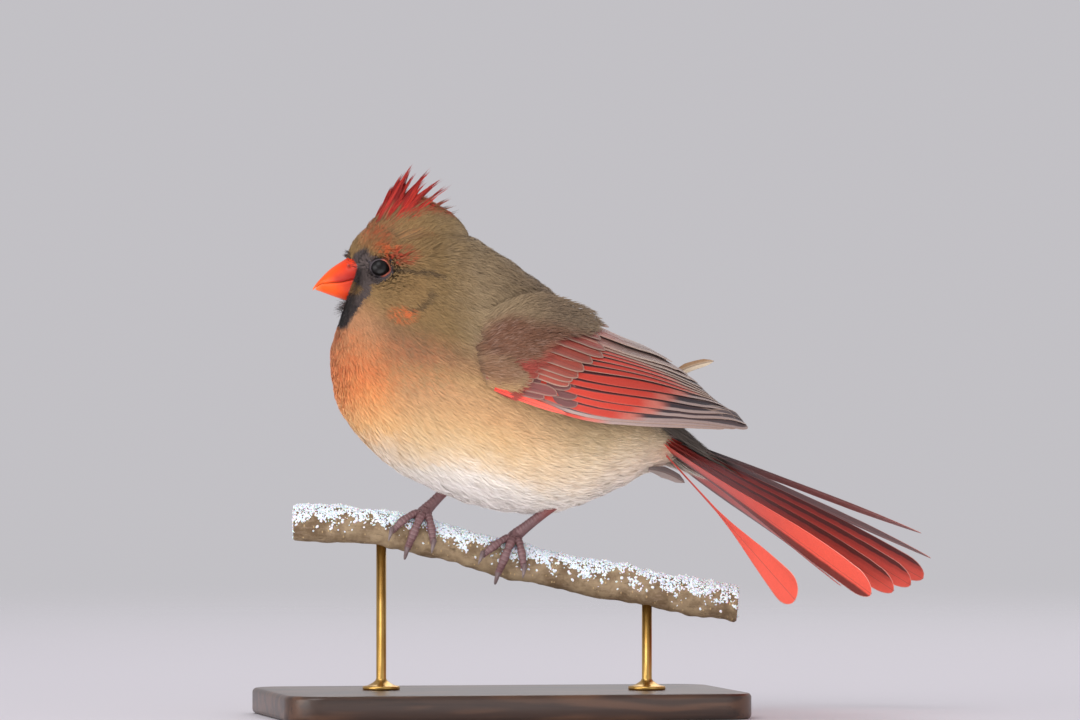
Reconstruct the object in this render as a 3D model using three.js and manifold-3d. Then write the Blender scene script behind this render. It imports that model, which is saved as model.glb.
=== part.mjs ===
// A female northern cardinal at life size, perched on a cut length of branch that a plain stand holds up.
// Millimetres, +Z up. The bird faces -X and its left side is -Y. The origin is the middle of the
// stand's underside. The body is one loft through named stations, parted at the neck.

import * as THREE from "three";
import { LoftGeometry } from "three/addons/geometries/LoftGeometry.js";
import { mergeVertices } from "three/addons/utils/BufferGeometryUtils.js";
import Module from "manifold-3d";

const wasm = await Module();
wasm.setup();

// Sizes shared by all the pieces
const GAP = 0.3; // between neighbours that touch
const VANE = 0.55; // thickness of a feather's web
const RACHIS = 0.8; // thickness of a feather along its shaft
const TIP_SHARE = 0.45; // a vane's thickness at its tip, as a share of its web's
const UP = new THREE.Vector3(0, 0, 1);
const LEFT = -1; // the side of the bird that lies at -Y
const RIGHT = 1;

// Body stations from the base of the bill to the root of the tail: the back's point, the belly's point
// below it, both as [x, z], and half the width there.
const BODY = [
  { top: [-49.9, 146.0], low: [-48.8, 132.6], half: 5.6 },
  { top: [-47.4, 151.0], low: [-49.8, 127.4], half: 8.2 },
  { top: [-42.5, 155.0], low: [-52.5, 123.2], half: 10.2 },
  { top: [-34.9, 157.2], low: [-54.4, 117.1], half: 12.4 },
  { top: [-24.6, 157.6], low: [-54.3, 109.4], half: 15.5 },
  { top: [-13.6, 155.2], low: [-52.5, 100.5], half: 20 },
  { top: [-2.6, 149.6], low: [-46.8, 90.9], half: 25.5 },
  { top: [9.1, 141.8], low: [-36.4, 80.6], half: 30 },
  { top: [20.8, 133.0], low: [-20.8, 72.0], half: 32 },
  { top: [31.8, 124.0], low: [-2.6, 66.2], half: 31 },
  { top: [41.6, 115.0], low: [14.9, 65.3], half: 27 },
  { top: [48.4, 106.0], low: [31.8, 70.0], half: 19.5 },
  { top: [52.6, 98.2], low: [43.6, 75.6], half: 11.5 },
  { top: [56.0, 93.2], low: [51.8, 79.4], half: 6 },
];
const BODY_LAST = BODY.length - 1;
const BODY_SIDES = 30;
const BODY_STEPS = 27; // rings along the whole body
const BELLY_FULLER = 0.1; // how far the widest place lies below the middle
const FACE_SWEEP = 4.6; // how far back the cheeks start beside the bill
const FACE_SWEPT = 3; // the station where that has died away
const FACE_HUB = { inwards: 0.85, ahead: 0.5 };
const NECK_FRONT = 4.1; // stations at which the head, neck and torso part
const NECK_REAR = 6.1;

// The head looks a little to the bird's right
const HEAD_TURN = THREE.MathUtils.degToRad(10);
const TURN_PIVOT_X = -20;
const TURN_FULL = 3.4; // stations between which the turn grows
const TURN_NONE = 7.5;

// Bill
const BILL = [
  { x: -42.5, culmen: 148.0, gape: 140.0, gonys: 131.6, half: 5.9 },
  { x: -47.7, culmen: 147.2, gape: 139.4, gonys: 132.4, half: 5.7 },
  { x: -51.1, culmen: 145.3, gape: 138.7, gonys: 133.4, half: 4.9 },
  { x: -54.5, culmen: 143.0, gape: 138.5, gonys: 134.6, half: 3.7 },
  { x: -57.4, culmen: 140.2, gape: 138.2, gonys: 135.7, half: 2.2 },
  { x: -59.2, culmen: 138.1, gape: 137.0, gonys: 136.3, half: 0.9 },
];
// The upper bill hooks past the lower one
const BILL_TIP = { x: -60.1, culmen: 136.8, gape: 136.0, half: 0.3 };
const BILL_ARCS = 8;
const BILL_FULLNESS = 0.85; // below 1 the bill's cross-section is rounder than a circle's arch
const NOSTRIL = { x: -48.6, y: 4.0, z: 144.0, radius: 0.7 };

// Eyes
const EYE_RADIUS = 3.6;
const EYE_PLACE = { x: -38.4, y: 9.1, z: 143.2 };
const LID = { ring: 3.3, tube: 0.6, out: 1.9 }; // the rim of lids round the eye
const SOCKET = { radius: 5, out: 3.3, depth: 1.8 }; // the shallow dish that the lids lie in

// Crest
const CREST_CORE = [
  { front: [-43.6, 150.0], rear: [-11.0, 150.0], half: 9.5 },
  { front: [-43.6, 155.5], rear: [-12.5, 156.0], half: 7.6 },
  { front: [-40.2, 160.2], rear: [-18.5, 159.6], half: 4.8 },
  { front: [-37.6, 163.8], rear: [-27.5, 163.4], half: 2.2 },
];
const CREST_ROWS = [-2.6, 0, 2.6]; // how far each row of crest feathers stands off the middle
const CREST_LEAN = -1.3; // degrees that a row leans out, per mm
const CREST_TILT = 14; // degrees that its webs are turned outwards
const CREST_WIDTH = 4.4;
const CREST_OUTER_SHORTER = 0.12; // how much shorter the outer rows are
const CREST_UNEVEN = 0.05; // how much shorter every second feather in them is
// Places along the crest from front to rear: [root x, root z, tip x, tip z]
const CREST_LIE = [
  [-40.0, 154.5, -30.4, 173.6],
  [-37.5, 155.5, -27.3, 177.2],
  [-34.5, 156.5, -21.6, 175.9],
  [-31.0, 156.5, -18.2, 172.0],
  [-27.0, 156.0, -15.4, 168.4],
  [-23.5, 155.5, -13.6, 164.4],
  [-20.0, 154.5, -11.6, 160.6],
  [-16.5, 153.0, -9.4, 156.4],
];

// Folded wing, front to tip. Each station has its upper, middle and lower point, as [x, distance from the
// middle of the bird, z].
const WING = [
  { top: [-12.2, 25.5, 126.1], mid: [-11.3, 30, 114.6], low: [-8.3, 31.5, 104.3] },
  { top: [6.6, 22.5, 131.5], mid: [3.5, 33.5, 115.5], low: [5.4, 34.5, 99.5] },
  { top: [27.5, 14, 127.0], mid: [22.5, 32.5, 112.0], low: [22.2, 34, 94.4] },
  { top: [44.0, 8.5, 119.6], mid: [41.4, 26.5, 108.0], low: [41.1, 28.5, 92.5] },
  { top: [59.6, 7.5, 109.4], mid: [58.7, 18.5, 101.8], low: [58.4, 21, 91.8] },
  { top: [69.9, 7.5, 100.9], mid: [69.8, 13.5, 97.0], low: [69.5, 15, 91.4] },
  { top: [78.8, 9.0, 93.4], mid: [79.2, 10.5, 92.2], low: [79.8, 11, 90.7] },
];
const FLIGHT = 15; // 3 tertials, 5 secondaries and 7 primaries, counted from the back down
const FLIGHT_TIP_S = [[0, 0.615], [2, 0.787], [7, 0.85], [10, 0.935], [12, 1], [14, 0.95]];
const FLIGHT_TIP_T = [[0, 0.02], [7, 0.12], [10, 0.28], [12, 0.7], [14, 0.99]];
const FLIGHT_ROOT_S = [[0, 0.32], [8, 0.27], [14, 0.2]];
const FLIGHT_ROOT_T = [[0, 0.12], [3, 0.36], [7, 0.68], [14, 0.985]];
const FLIGHT_STATIONS = [0.42, 0.6, 0.78]; // shared, so that neighbours bend alike
const FLIGHT_PITCH_LEAST = 1.4; // between the lower edges of neighbours
const FLIGHT_TUCK = 1.6; // how far a feather's upper web runs on under its neighbour
const SHINGLE_STEP = 0.38; // how far each feather lies below its upper neighbour
const ROOT_SUNK = 1.1; // how much deeper its root lies
// The tip of a wing feather: how far before its end in s, then its shares of the full width and thickness
const WING_TIP = [[0.03, 0.9, 1], [0, 0.3, 0.5]];
const WING_ROOT_WIDE = 0.9; // share of the full width at the root
const WING_TIP_LOW = 0.3; // share of the width lost at the tip that is lost along the lower edge
// A tier of coverts: how many, the tips of the first and last as [s, t], how far back its roots lie in s,
// its height above the wing, and how far up its roots lie in t
const TIERS = {
  greater: { count: 8, first: [0.395, 0.1], last: [0.275, 0.74], reach: 0.17, lift: 0.4, fan: 0.03 },
  median: { count: 4, first: [0.3, 0.1], last: [0.11, 0.6], reach: 0.13, lift: 0.8, fan: 0.03 },
  primary: { count: 3, first: [0.3, 0.84], last: [0.3, 0.97], reach: 0.18, lift: 0.4, fan: 0.02 },
};
const ALULA = { root: [0.07, 0.82], tip: [0.25, 0.83], lift: 0.8, width: 4 };
const WING_CORE_END = 0.44; // how far along the wing the core under the feathers' roots reaches
const WING_CORE_TOP = 0.4; // how deep it lies
const WING_CORE_THIN = 0.8; // its thickness at the rims, to which the depth in the middle is added
const WING_CORE_DEPTH = 4.2;
const WING_CORE_ACROSS = [0.06, 0.22, 0.4, 0.58, 0.76, 0.94];

// Tail
const TAIL_ROOT = new THREE.Vector3(48.1, 0, 90.6);
const TAIL_START = 6; // the vanes begin this far behind the root, inside the core
const TAIL_WIDTH = 12.5;
const TAIL_OUTER_WEB = 0.38;
// Left to right: yaw to the bird's left, pitch below level, roll at the base and the tip (left web down is
// positive), in degrees, and length
const RECTRICES = [
  { yaw: 45.2, pitch: 42.4, roll: [4, 70], length: 82 },
  { yaw: 41, pitch: 31.3, roll: [8, 38], length: 95 },
  { yaw: 33, pitch: 30.4, roll: [10, 34], length: 97 },
  { yaw: 23.8, pitch: 29.4, roll: [10, 29], length: 98 },
  { yaw: 13, pitch: 28.2, roll: [10, 22], length: 99.5 },
  { yaw: 5.6, pitch: 24.4, roll: [8, 16], length: 99.8 },
  { yaw: -3.9, pitch: 20.2, roll: [4, 14], length: 97 },
  { yaw: -4, pitch: 26.5, roll: [-2, 4], length: 99 },
  { yaw: -10, pitch: 28.5, roll: [-8, -8], length: 99 },
  { yaw: -17, pitch: 29.3, roll: [-10, -16], length: 98 },
  { yaw: -24, pitch: 29.9, roll: [-10, -24], length: 97 },
  { yaw: -30.3, pitch: 30.4, roll: [-8, -30], length: 96 },
];
const TAIL_SAG = 2; // degrees that a feather bends down along its length
const TAIL_TWIST = [0.15, 0.85]; // shares of the length between which a feather rolls
// The core that the quills spring from, as ovals along a line that falls away behind the root
const TAIL_FALL = THREE.MathUtils.degToRad(30);
const TAIL_CORE = [
  { along: -6, wide: 6, high: 5.5 },
  { along: 0, wide: 7.2, high: 6 },
  { along: 7, wide: 7.6, high: 4.6 },
  { along: 14, wide: 6.4, high: 2.9 },
  { along: 19, wide: 4, high: 1.4 },
];
// The middle quill of a row lies at above, its neighbours at spacing to its sides and a drop lower
const QUILLS = { above: 0.6, drop: 0.5 };
// Coverts over and under the quills: their roots' places, their sizes, and in degrees how each row fans
const TAIL_COVERTS = [
  {
    count: 4, behind: 2, spacing: 1.6, above: 3.4, drop: 0.5,
    length: 34, taper: 3, width: 7.5, pitch: 27, fan: 6, roll: 9,
  },
  {
    count: 3, behind: 4, spacing: 1.7, above: -6.2, drop: -0.3,
    length: 30, taper: 3.5, width: 8.5, pitch: 34, fan: 8, roll: -12,
  },
];

// Branch, as [distance along it from the middle of the bird, height of its middle]
const PERCH_RISE = [[-66, 61.8], [-48, 61.0], [-32, 59.0], [-19, 55.8], [-4, 51.6], [6, 49.1], [19, 46.2],
  [32, 43.6], [48, 40.6], [64, 37.6], [76, 35.8]];
const PERCH_RADIUS = 5.8;
const PERCH_YAW = THREE.MathUtils.degToRad(-10); // the branch lies askew under the bird
const PERCH_SIDES = 14;
const PERCH_STEPS = 13;
const PERCH_SWELL = { share: 0.05, pace: 0.21 }; // its girth rises and falls along it
const KNOT = { along: 40, radius: 2.6, out: 5.2, angle: 60 };

// Feet: where the palm sits along the branch, its angle round it (90 is on top, 0 faces left), and where the
// shank goes up into the belly
const FEET = {
  left: { along: 3.0, angle: 74, ankle: new THREE.Vector3(19, -9, 70) },
  right: { along: -26.0, angle: 76, ankle: new THREE.Vector3(-12, 5.5, 77) },
};
const SHANK_RADII = [2.1, 1.75, 1.6, 1.6, 1.76, 2.0]; // from the palm up
const SHANK_FOOT = { round: 10, lift: 2.4 }; // its lower end: degrees round the branch, and height over it
const SHANK_PART = 3.4; // how far up the shank the foot ends
const PALM = { lift: 1.6, radius: 2.5, round: 6 };
const TOE_STEPS = 6;
const TOE_PADS = [1.15, 1.1, 0.88, 1.1, 0.85, 0.8]; // shares of the toe's radius along it
const TOE_ARCH = 0.9; // how far a toe stands off the bark in its middle
const CLAW_RADII = [0.85, 0.7, 0.45, 0.18];
// Toes: the way along the branch at the tip, the angle that the toe turns round it, radius, and the claw
const TOES = [
  { drift: -8.5, wrap: 78, thick: 1.25, claw: 5 },
  { drift: -2.5, wrap: 118, thick: 1.35, claw: 6.5 },
  { drift: 5, wrap: 84, thick: 1.25, claw: 5 },
  { drift: 2.0, wrap: -105, thick: 1.45, claw: 7 },
];

// Stand
const BASE = { length: 150, width: 92, height: 8.3, corner: 12, bevel: 1.5 };
const ROD = { radius: 1.6, flange: 6, rim: 1.3, along: [-38, 47] };
// The rod's foot, as shares of the flange's radius and of its rim's height
const ROD_FOOT = [[0, 0], [1, 0], [1, 1], [0.55, 1.8]];
const ROD_NECK = 2.4;

// Colours and finishes
const finish = (color, roughness, metalness = 0) =>
  new THREE.MeshStandardMaterial({ color, roughness, metalness });
const FINISH = {
  plumage: finish(0x8f7f5f, 0.85),
  breast: finish(0xd9a566, 0.85),
  crest: finish(0xa8322a, 0.8),
  wing: finish(0xa64a3c, 0.7),
  tail: finish(0xb04538, 0.7),
  bill: finish(0xf0522a, 0.35),
  eye: finish(0x14100e, 0.08),
  leg: finish(0x7a4a4c, 0.6),
  bark: finish(0x6b5a3c, 0.9),
  wood: finish(0x4a3326, 0.45),
  brass: finish(0xb08d4f, 0.3, 1),
};

// Solids from three.js geometry

const vec = (x, y, z) => new THREE.Vector3(x, y, z);
const rad = THREE.MathUtils.degToRad;
const lerp = THREE.MathUtils.lerp;
const smooth = THREE.MathUtils.smoothstep;

function solid(geometry) {
  const bare = new THREE.BufferGeometry().setAttribute("position", geometry.getAttribute("position"));
  if (geometry.index) bare.setIndex(geometry.index);
  const merged = mergeVertices(bare, 1e-4);
  return new wasm.Manifold(
    new wasm.Mesh({
      numProp: 3,
      vertProperties: new Float32Array(merged.attributes.position.array),
      triVerts: new Uint32Array(merged.index.array),
    }),
  );
}

const middle = (points) =>
  points.reduce((sum, point) => sum.add(point), vec(0, 0, 0)).divideScalar(points.length);

// Whether a ring of points turns anticlockwise as seen from the rings that follow it.
function turnsForward(ring, next) {
  const centre = middle(ring);
  const normal = vec(0, 0, 0);
  ring.forEach((point, i) => {
    const after = ring[(i + 1) % ring.length];
    normal.add(point.clone().sub(centre).cross(after.clone().sub(centre)));
  });
  return normal.dot(middle(next).sub(centre)) > 0;
}

// A closed body through rings of points, with its faces pointing out.
function loft(rings) {
  const forward = turnsForward(rings[0], rings[1]);
  const sections = forward ? rings : rings.map((ring) => [...ring].reverse());
  return solid(new LoftGeometry(sections, { capStart: true, capEnd: true }));
}

const union = (pieces) => pieces.reduce((all, piece) => all.add(piece));

// The largest closed surface of a solid, as one piece.
function whole(made) {
  const bodies = made.decompose();
  return bodies.reduce((best, body) => (body.volume() > best.volume() ? body : best));
}

function mesh(name, made, material) {
  const { numProp, numVert, vertProperties, triVerts } = whole(made).getMesh();
  const positions = new Float32Array(numVert * 3);
  for (let i = 0; i < numVert; i++) {
    positions.set(vertProperties.subarray(i * numProp, i * numProp + 3), i * 3);
  }
  const geometry = new THREE.BufferGeometry()
    .setAttribute("position", new THREE.BufferAttribute(positions, 3))
    .setIndex(new THREE.BufferAttribute(triVerts, 1));
  geometry.computeVertexNormals();
  const made3d = new THREE.Mesh(geometry, material);
  made3d.name = name;
  return made3d;
}

// The value at x on straight lines between [x, value] pairs.
function keyed(pairs, x) {
  const after = pairs.findIndex(([key]) => key >= x);
  if (after <= 0) return pairs[after === 0 ? 0 : pairs.length - 1][1];
  const [x0, v0] = pairs[after - 1];
  const [x1, v1] = pairs[after];
  return lerp(v0, v1, (x - x0) / (x1 - x0));
}

const line = (points) => new THREE.CatmullRomCurve3(points);

// A tube with a radius of its own at each point of its path.
function tube(points, radii, sides = 8) {
  const path = line(points);
  const count = radii.length;
  const side = vec(0.31, 0.2, 0.93);
  return loft(
    radii.map((radius, i) => {
      const share = i / (count - 1);
      const centre = path.getPoint(share);
      const ahead = path.getTangent(share);
      const across = side.clone().cross(ahead).normalize();
      const over = ahead.clone().cross(across);
      return circle(centre, across, over, radius, radius, sides);
    }),
  );
}

function circle(centre, across, over, wide, high, sides) {
  return Array.from({ length: sides }, (_, k) => {
    const angle = (2 * Math.PI * k) / sides;
    return centre
      .clone()
      .addScaledVector(across, wide * Math.cos(angle))
      .addScaledVector(over, high * Math.sin(angle));
  });
}

// Body

const bodyTop = line(BODY.map(({ top: [x, z] }) => vec(x, 0, z)));
const bodyLow = line(BODY.map(({ low: [x, z] }) => vec(x, 0, z)));
const bodyHalf = line(BODY.map(({ half }) => vec(half, 0, 0)));

function turnHead(point, station) {
  const angle = HEAD_TURN * (1 - smooth(station, TURN_FULL, TURN_NONE));
  const pivot = vec(TURN_PIVOT_X, 0, 0);
  return point.sub(pivot).applyAxisAngle(UP, -angle).add(pivot);
}

// A ring of the body, grown outwards, and moved along the body by shift.
function bodyRing(station, grow, shift) {
  const share = station / BODY_LAST;
  const top = bodyTop.getPoint(share);
  const low = bodyLow.getPoint(share);
  const half = bodyHalf.getPoint(share).x + grow;
  const centre = top.clone().add(low).multiplyScalar(0.5);
  const reach = top.clone().sub(low);
  const high = reach.length() / 2 + grow;
  reach.normalize();
  const along = vec(0, 1, 0).cross(reach);
  return Array.from({ length: BODY_SIDES }, (_, k) => {
    const angle = (2 * Math.PI * k) / BODY_SIDES;
    const full = 1 - BELLY_FULLER * Math.cos(angle);
    const swept = FACE_SWEEP * Math.sin(angle) ** 2 * (1 - smooth(station, 0, FACE_SWEPT));
    const point = centre
      .clone()
      .addScaledVector(reach, high * Math.cos(angle))
      .addScaledVector(along, shift + swept);
    point.y += half * full * Math.sin(angle);
    return turnHead(point, station);
  });
}

// Where the rings of the head, neck and torso lie, in stations
function ringsBetween(from, to) {
  const last = Math.round(((to - from) / BODY_LAST) * BODY_STEPS);
  return Array.from({ length: last + 1 }, (_, i) => lerp(from, to, i / last));
}
const HEAD_RINGS = ringsBetween(0, NECK_FRONT);
const NECK_RINGS = ringsBetween(NECK_FRONT, NECK_REAR);
const TORSO_RINGS = ringsBetween(NECK_REAR, BODY_LAST);

// A stretch of the body; its front and rear draw back by the trims. The face, whose ring isn't flat, closes
// on a small ring in its middle, under the bill.
function bodyStretch(stations, { grow = 0, front = 0, rear = 0 }) {
  const shifts = { 0: front, [stations.length - 1]: -rear };
  const rings = stations.map((station, i) => bodyRing(station, grow, shifts[i] ?? 0));
  if (stations[0] === 0) {
    const centre = middle(rings[0]);
    const ahead = centre.clone().sub(middle(rings[1])).setLength(FACE_HUB.ahead);
    rings.unshift(rings[0].map((point) => point.clone().lerp(centre, FACE_HUB.inwards).add(ahead)));
  }
  return loft(rings);
}

// The body with the gap that its neighbours keep round it
const bodyGrown = bodyStretch([...HEAD_RINGS, ...NECK_RINGS.slice(1), ...TORSO_RINGS.slice(1)], {
  grow: GAP * 1.15,
  front: -GAP,
  rear: -GAP,
});
const turned = (point) => turnHead(point, 0);

// Head, with its eyes and lids

function eyePlace(side, out = 0) {
  return turned(vec(EYE_PLACE.x, side * (EYE_PLACE.y + out), EYE_PLACE.z));
}

function ball(centre, radius, across = 16, down = 9) {
  return solid(new THREE.SphereGeometry(radius, across, down).translate(centre.x, centre.y, centre.z));
}

function socket(side) {
  const dish = new THREE.SphereGeometry(SOCKET.radius, 10, 6).scale(1, SOCKET.depth / SOCKET.radius, 1);
  const centre = eyePlace(side, SOCKET.out);
  return solid(dish.rotateZ(-HEAD_TURN).translate(centre.x, centre.y, centre.z));
}

function lids(side) {
  const rim = new THREE.TorusGeometry(LID.ring, LID.tube, 4, 12).rotateX(Math.PI / 2).rotateZ(-HEAD_TURN);
  const centre = eyePlace(side, LID.out);
  return solid(rim.translate(centre.x, centre.y, centre.z));
}

function head() {
  let made = bodyStretch(HEAD_RINGS, { rear: GAP / 2 });
  for (const side of [LEFT, RIGHT]) {
    const cavity = ball(eyePlace(side), EYE_RADIUS + GAP, 12, 7);
    made = made.subtract(socket(side)).add(lids(side)).subtract(cavity);
  }
  return made;
}

// Bill: an arch over the gape line for the upper half, and a keel under it for the lower half

function billRing({ x, half }, edge, crown) {
  return Array.from({ length: BILL_ARCS + 1 }, (_, k) => {
    const angle = (Math.PI * k) / BILL_ARCS;
    const rise = Math.pow(Math.sin(angle), BILL_FULLNESS);
    return turned(vec(x, half * Math.cos(angle), lerp(edge, crown, rise)));
  });
}

function upperBill() {
  const rings = BILL.map((at) => billRing(at, at.gape + GAP / 2, at.culmen));
  rings.push(billRing(BILL_TIP, BILL_TIP.gape, BILL_TIP.culmen));
  let made = loft(rings).subtract(bodyGrown);
  for (const side of [LEFT, RIGHT]) {
    const centre = turned(vec(NOSTRIL.x, side * NOSTRIL.y, NOSTRIL.z));
    made = made.subtract(ball(centre, NOSTRIL.radius, 8, 6));
  }
  return made;
}

function lowerBill() {
  return loft(BILL.map((at) => billRing(at, at.gape - GAP / 2, at.gonys))).subtract(bodyGrown);
}

// Feathers

// One vane. Each step has its shaft's place, the way across it (towards the inner web), its outward face,
// its width, and the share of the width that lies on the outer web. A ridged vane is thicker at its shaft.
function vane(steps, ridged = false) {
  return loft(
    steps.map(({ at, across, face, width, outer = 0.5, thin = 1 }) => {
      const point = (reach, thickness) =>
        at
          .clone()
          .addScaledVector(across, reach * width)
          .addScaledVector(face, (thickness * thin) / 2);
      const upper = [point(-outer, VANE), point(1 - outer, VANE)];
      const lower = [point(1 - outer, -VANE), point(-outer, -VANE)];
      if (!ridged) return [...upper, ...lower];
      return [upper[0], point(0, RACHIS), upper[1], lower[0], point(0, -RACHIS), lower[1]];
    }),
  );
}

// Shares of a feather's length, and of its full width there.
const BROAD = [[0, 0.3], [0.25, 0.5], [0.5, 0.8], [0.75, 1], [0.92, 0.85], [1, 0.3]];
const ROUND = [[0, 0.6], [0.45, 1], [0.85, 0.9], [1, 0.35]];
const SLENDER = [[0, 0.8], [0.4, 1], [0.72, 0.62], [1, 0.1]];

// A tail feather from its root, in a direction given in degrees to the left and below level.
function plume({ root, yaw, pitch, length, width, roll, shape, outer = 0.5, ridged = false }) {
  const steps = [];
  const at = root.clone();
  const level = vec(Math.cos(rad(yaw)), -Math.sin(rad(yaw)), 0);
  let before = 0;
  for (const [share, wide] of shape) {
    const down = rad(pitch + TAIL_SAG * (share - 0.5));
    const ahead = level.clone().multiplyScalar(Math.cos(down)).setZ(-Math.sin(down));
    at.addScaledVector(ahead, (share - before) * length);
    before = share;
    const twist = rad(lerp(roll[0], roll[1], smooth(share, ...TAIL_TWIST)));
    const across = UP.clone().cross(ahead).normalize().applyAxisAngle(ahead, -twist);
    const face = ahead.clone().cross(across);
    const thin = share === 1 ? TIP_SHARE : 1;
    steps.push({ at: at.clone(), across, face, width: width * wide, outer, thin });
  }
  return vane(steps, ridged);
}

// Crest: a low core with three rows of feathers that stand up at the front and lie back behind

function crest() {
  const core = loft(
    CREST_CORE.map(({ front, rear, half }) => {
      const centre = vec((front[0] + rear[0]) / 2, 0, (front[1] + rear[1]) / 2);
      const along = vec((rear[0] - front[0]) / 2, 0, (rear[1] - front[1]) / 2);
      return circle(centre, along.clone().normalize(), vec(0, 1, 0), along.length(), half, 16).map(turned);
    }),
  );
  const pieces = [core];
  for (const row of CREST_ROWS) {
    CREST_LIE.forEach(([rootX, rootZ, tipX, tipZ], i) => {
      const shorter = row === 0 ? 1 : 1 - CREST_OUTER_SHORTER - CREST_UNEVEN * (i % 2);
      const root = vec(rootX, row, rootZ);
      const ahead = vec(lerp(rootX, tipX, shorter), row, lerp(rootZ, tipZ, shorter)).sub(root);
      const length = ahead.length();
      ahead.y = length * Math.tan(rad(CREST_LEAN * row));
      ahead.normalize();
      const tilt = rad(CREST_TILT * Math.sign(row));
      const across = ahead.clone().cross(vec(0, 1, 0)).applyAxisAngle(ahead, tilt).normalize();
      const face = across.clone().cross(ahead);
      pieces.push(
        vane(
          SLENDER.map(([share, wide]) => ({
            at: turned(root.clone().addScaledVector(ahead, share * length)),
            across: across.clone().applyAxisAngle(UP, -HEAD_TURN),
            face: face.clone().applyAxisAngle(UP, -HEAD_TURN),
            width: CREST_WIDTH * wide,
            thin: share === 1 ? TIP_SHARE : 1,
          })),
        ),
      );
    });
  }
  return union(pieces).subtract(bodyGrown);
}

// Wing: feathers laid on the folded wing's surface, where s runs to the tip and t down from the back

function wingSurface(side) {
  const curve = (place) => line(WING.map((at) => vec(at[place][0], side * at[place][1], at[place][2])));
  const top = curve("top");
  const mid = curve("mid");
  const low = curve("low");
  const point = (s, t) =>
    vec(0, 0, 0)
      .addScaledVector(top.getPoint(s), (1 - t) * (1 - 2 * t))
      .addScaledVector(mid.getPoint(s), 4 * t * (1 - t))
      .addScaledVector(low.getPoint(s), t * (2 * t - 1));
  const near = 0.02;
  const face = (s, t) => {
    const ahead = point(Math.min(1, s + near), t).sub(point(Math.max(0, s - near), t));
    const down = point(s, t + near).sub(point(s, t - near));
    return ahead.cross(down).multiplyScalar(side).normalize();
  };
  return { point, face, near };
}

// A feather on the wing. Its lower edge runs from root to tip, both as [s, t]. Its web reaches up to the
// lower edge of the neighbour above, and runs on a little under it.
function wingFeather(wing, { root, tip, lift, up, stations = [] }) {
  const edge = (s) => lerp(root[1], tip[1], (s - root[0]) / (tip[0] - root[0]));
  const long = stations.filter((s) => s > root[0] + 0.03 && s < tip[0] - 2 * WING_TIP[0][0]);
  const steps = [[root[0], WING_ROOT_WIDE, 1], ...long.map((s) => [s, 1, 1])];
  if (long.length === 0) steps.push([lerp(root[0], tip[0], 0.4), 1, 1]);
  steps.push(...WING_TIP.map(([before, wide, thick]) => [tip[0] - before, wide, thick]));
  const rings = steps.map(([s, wide, thick], i) => {
    const t = edge(s);
    const height = wing.point(s, t - wing.near).distanceTo(wing.point(s, t)) / wing.near;
    const pitch = up(s);
    const width = (pitch + FLIGHT_TUCK) * wide;
    const low = (pitch + FLIGHT_TUCK) * (1 - wide) * WING_TIP_LOW;
    const point = (reach, way) => {
      const at = t - (low + reach) / height;
      const sunk = (SHINGLE_STEP * reach) / pitch + (i === 0 ? ROOT_SUNK : 0);
      return wing.point(s, at).addScaledVector(wing.face(s, at), lift - sunk + (way * VANE * thick) / 2);
    };
    return [point(0, 1), point(width, 1), point(width, -1), point(0, -1)];
  });
  return loft(rings);
}

function wingCore(wing) {
  const along = [0, 0.1, 0.2, ...FLIGHT_STATIONS.filter((s) => s < WING_CORE_END), WING_CORE_END];
  return loft(
    along.map((s) => {
      const full = WING_CORE_DEPTH * smooth(s, 0, 0.1) * (1 - smooth(s, 0.25, WING_CORE_END));
      const under = (t, depth) => wing.point(s, t).addScaledVector(wing.face(s, t), -depth);
      const depth = (t) => WING_CORE_TOP + WING_CORE_THIN + full * Math.sin(Math.PI * t);
      const outside = WING_CORE_ACROSS.map((t) => under(t, WING_CORE_TOP));
      const inside = WING_CORE_ACROSS.map((t) => under(t, depth(t)));
      return [...outside, ...inside.reverse()];
    }),
  );
}

function wing(side) {
  const surface = wingSurface(side);
  const spread = (from, to) => surface.point(...from).distanceTo(surface.point(...to));
  const pieces = [wingCore(surface)];
  const flight = Array.from({ length: FLIGHT }, (_, i) => ({
    root: [keyed(FLIGHT_ROOT_S, i), keyed(FLIGHT_ROOT_T, i)],
    tip: [keyed(FLIGHT_TIP_S, i), keyed(FLIGHT_TIP_T, i)],
    lift: 0,
    stations: FLIGHT_STATIONS,
  }));
  const edge = ({ root, tip }, s) => lerp(root[1], tip[1], (s - root[0]) / (tip[0] - root[0]));
  flight.forEach((feather, i) => {
    const above = flight[Math.max(0, i - 1)];
    const below = flight[Math.max(1, i)];
    const up = (s) => Math.max(FLIGHT_PITCH_LEAST, spread([s, edge(above, s)], [s, edge(below, s)]));
    pieces.push(wingFeather(surface, { ...feather, up }));
  });
  for (const { count, first, last, reach, lift, fan } of Object.values(TIERS)) {
    const gap = spread(first, last) / (count - 1);
    for (let i = 0; i < count; i++) {
      const share = i / (count - 1);
      const tip = [lerp(first[0], last[0], share), lerp(first[1], last[1], share)];
      const root = [Math.max(0.02, tip[0] - reach), Math.max(0.04, tip[1] - fan)];
      pieces.push(wingFeather(surface, { root, tip, lift, up: () => gap }));
    }
  }
  pieces.push(wingFeather(surface, { ...ALULA, up: () => ALULA.width }));
  return union(pieces).subtract(bodyGrown);
}

// Tail: twelve quills from one core, with coverts over and under them

function tailCore() {
  const down = vec(Math.cos(TAIL_FALL), 0, -Math.sin(TAIL_FALL));
  const over = vec(Math.sin(TAIL_FALL), 0, Math.cos(TAIL_FALL));
  return loft(
    TAIL_CORE.map(({ along, wide, high }) =>
      circle(TAIL_ROOT.clone().addScaledVector(down, along), vec(0, 1, 0), over, wide, high, 14),
    ),
  );
}

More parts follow.
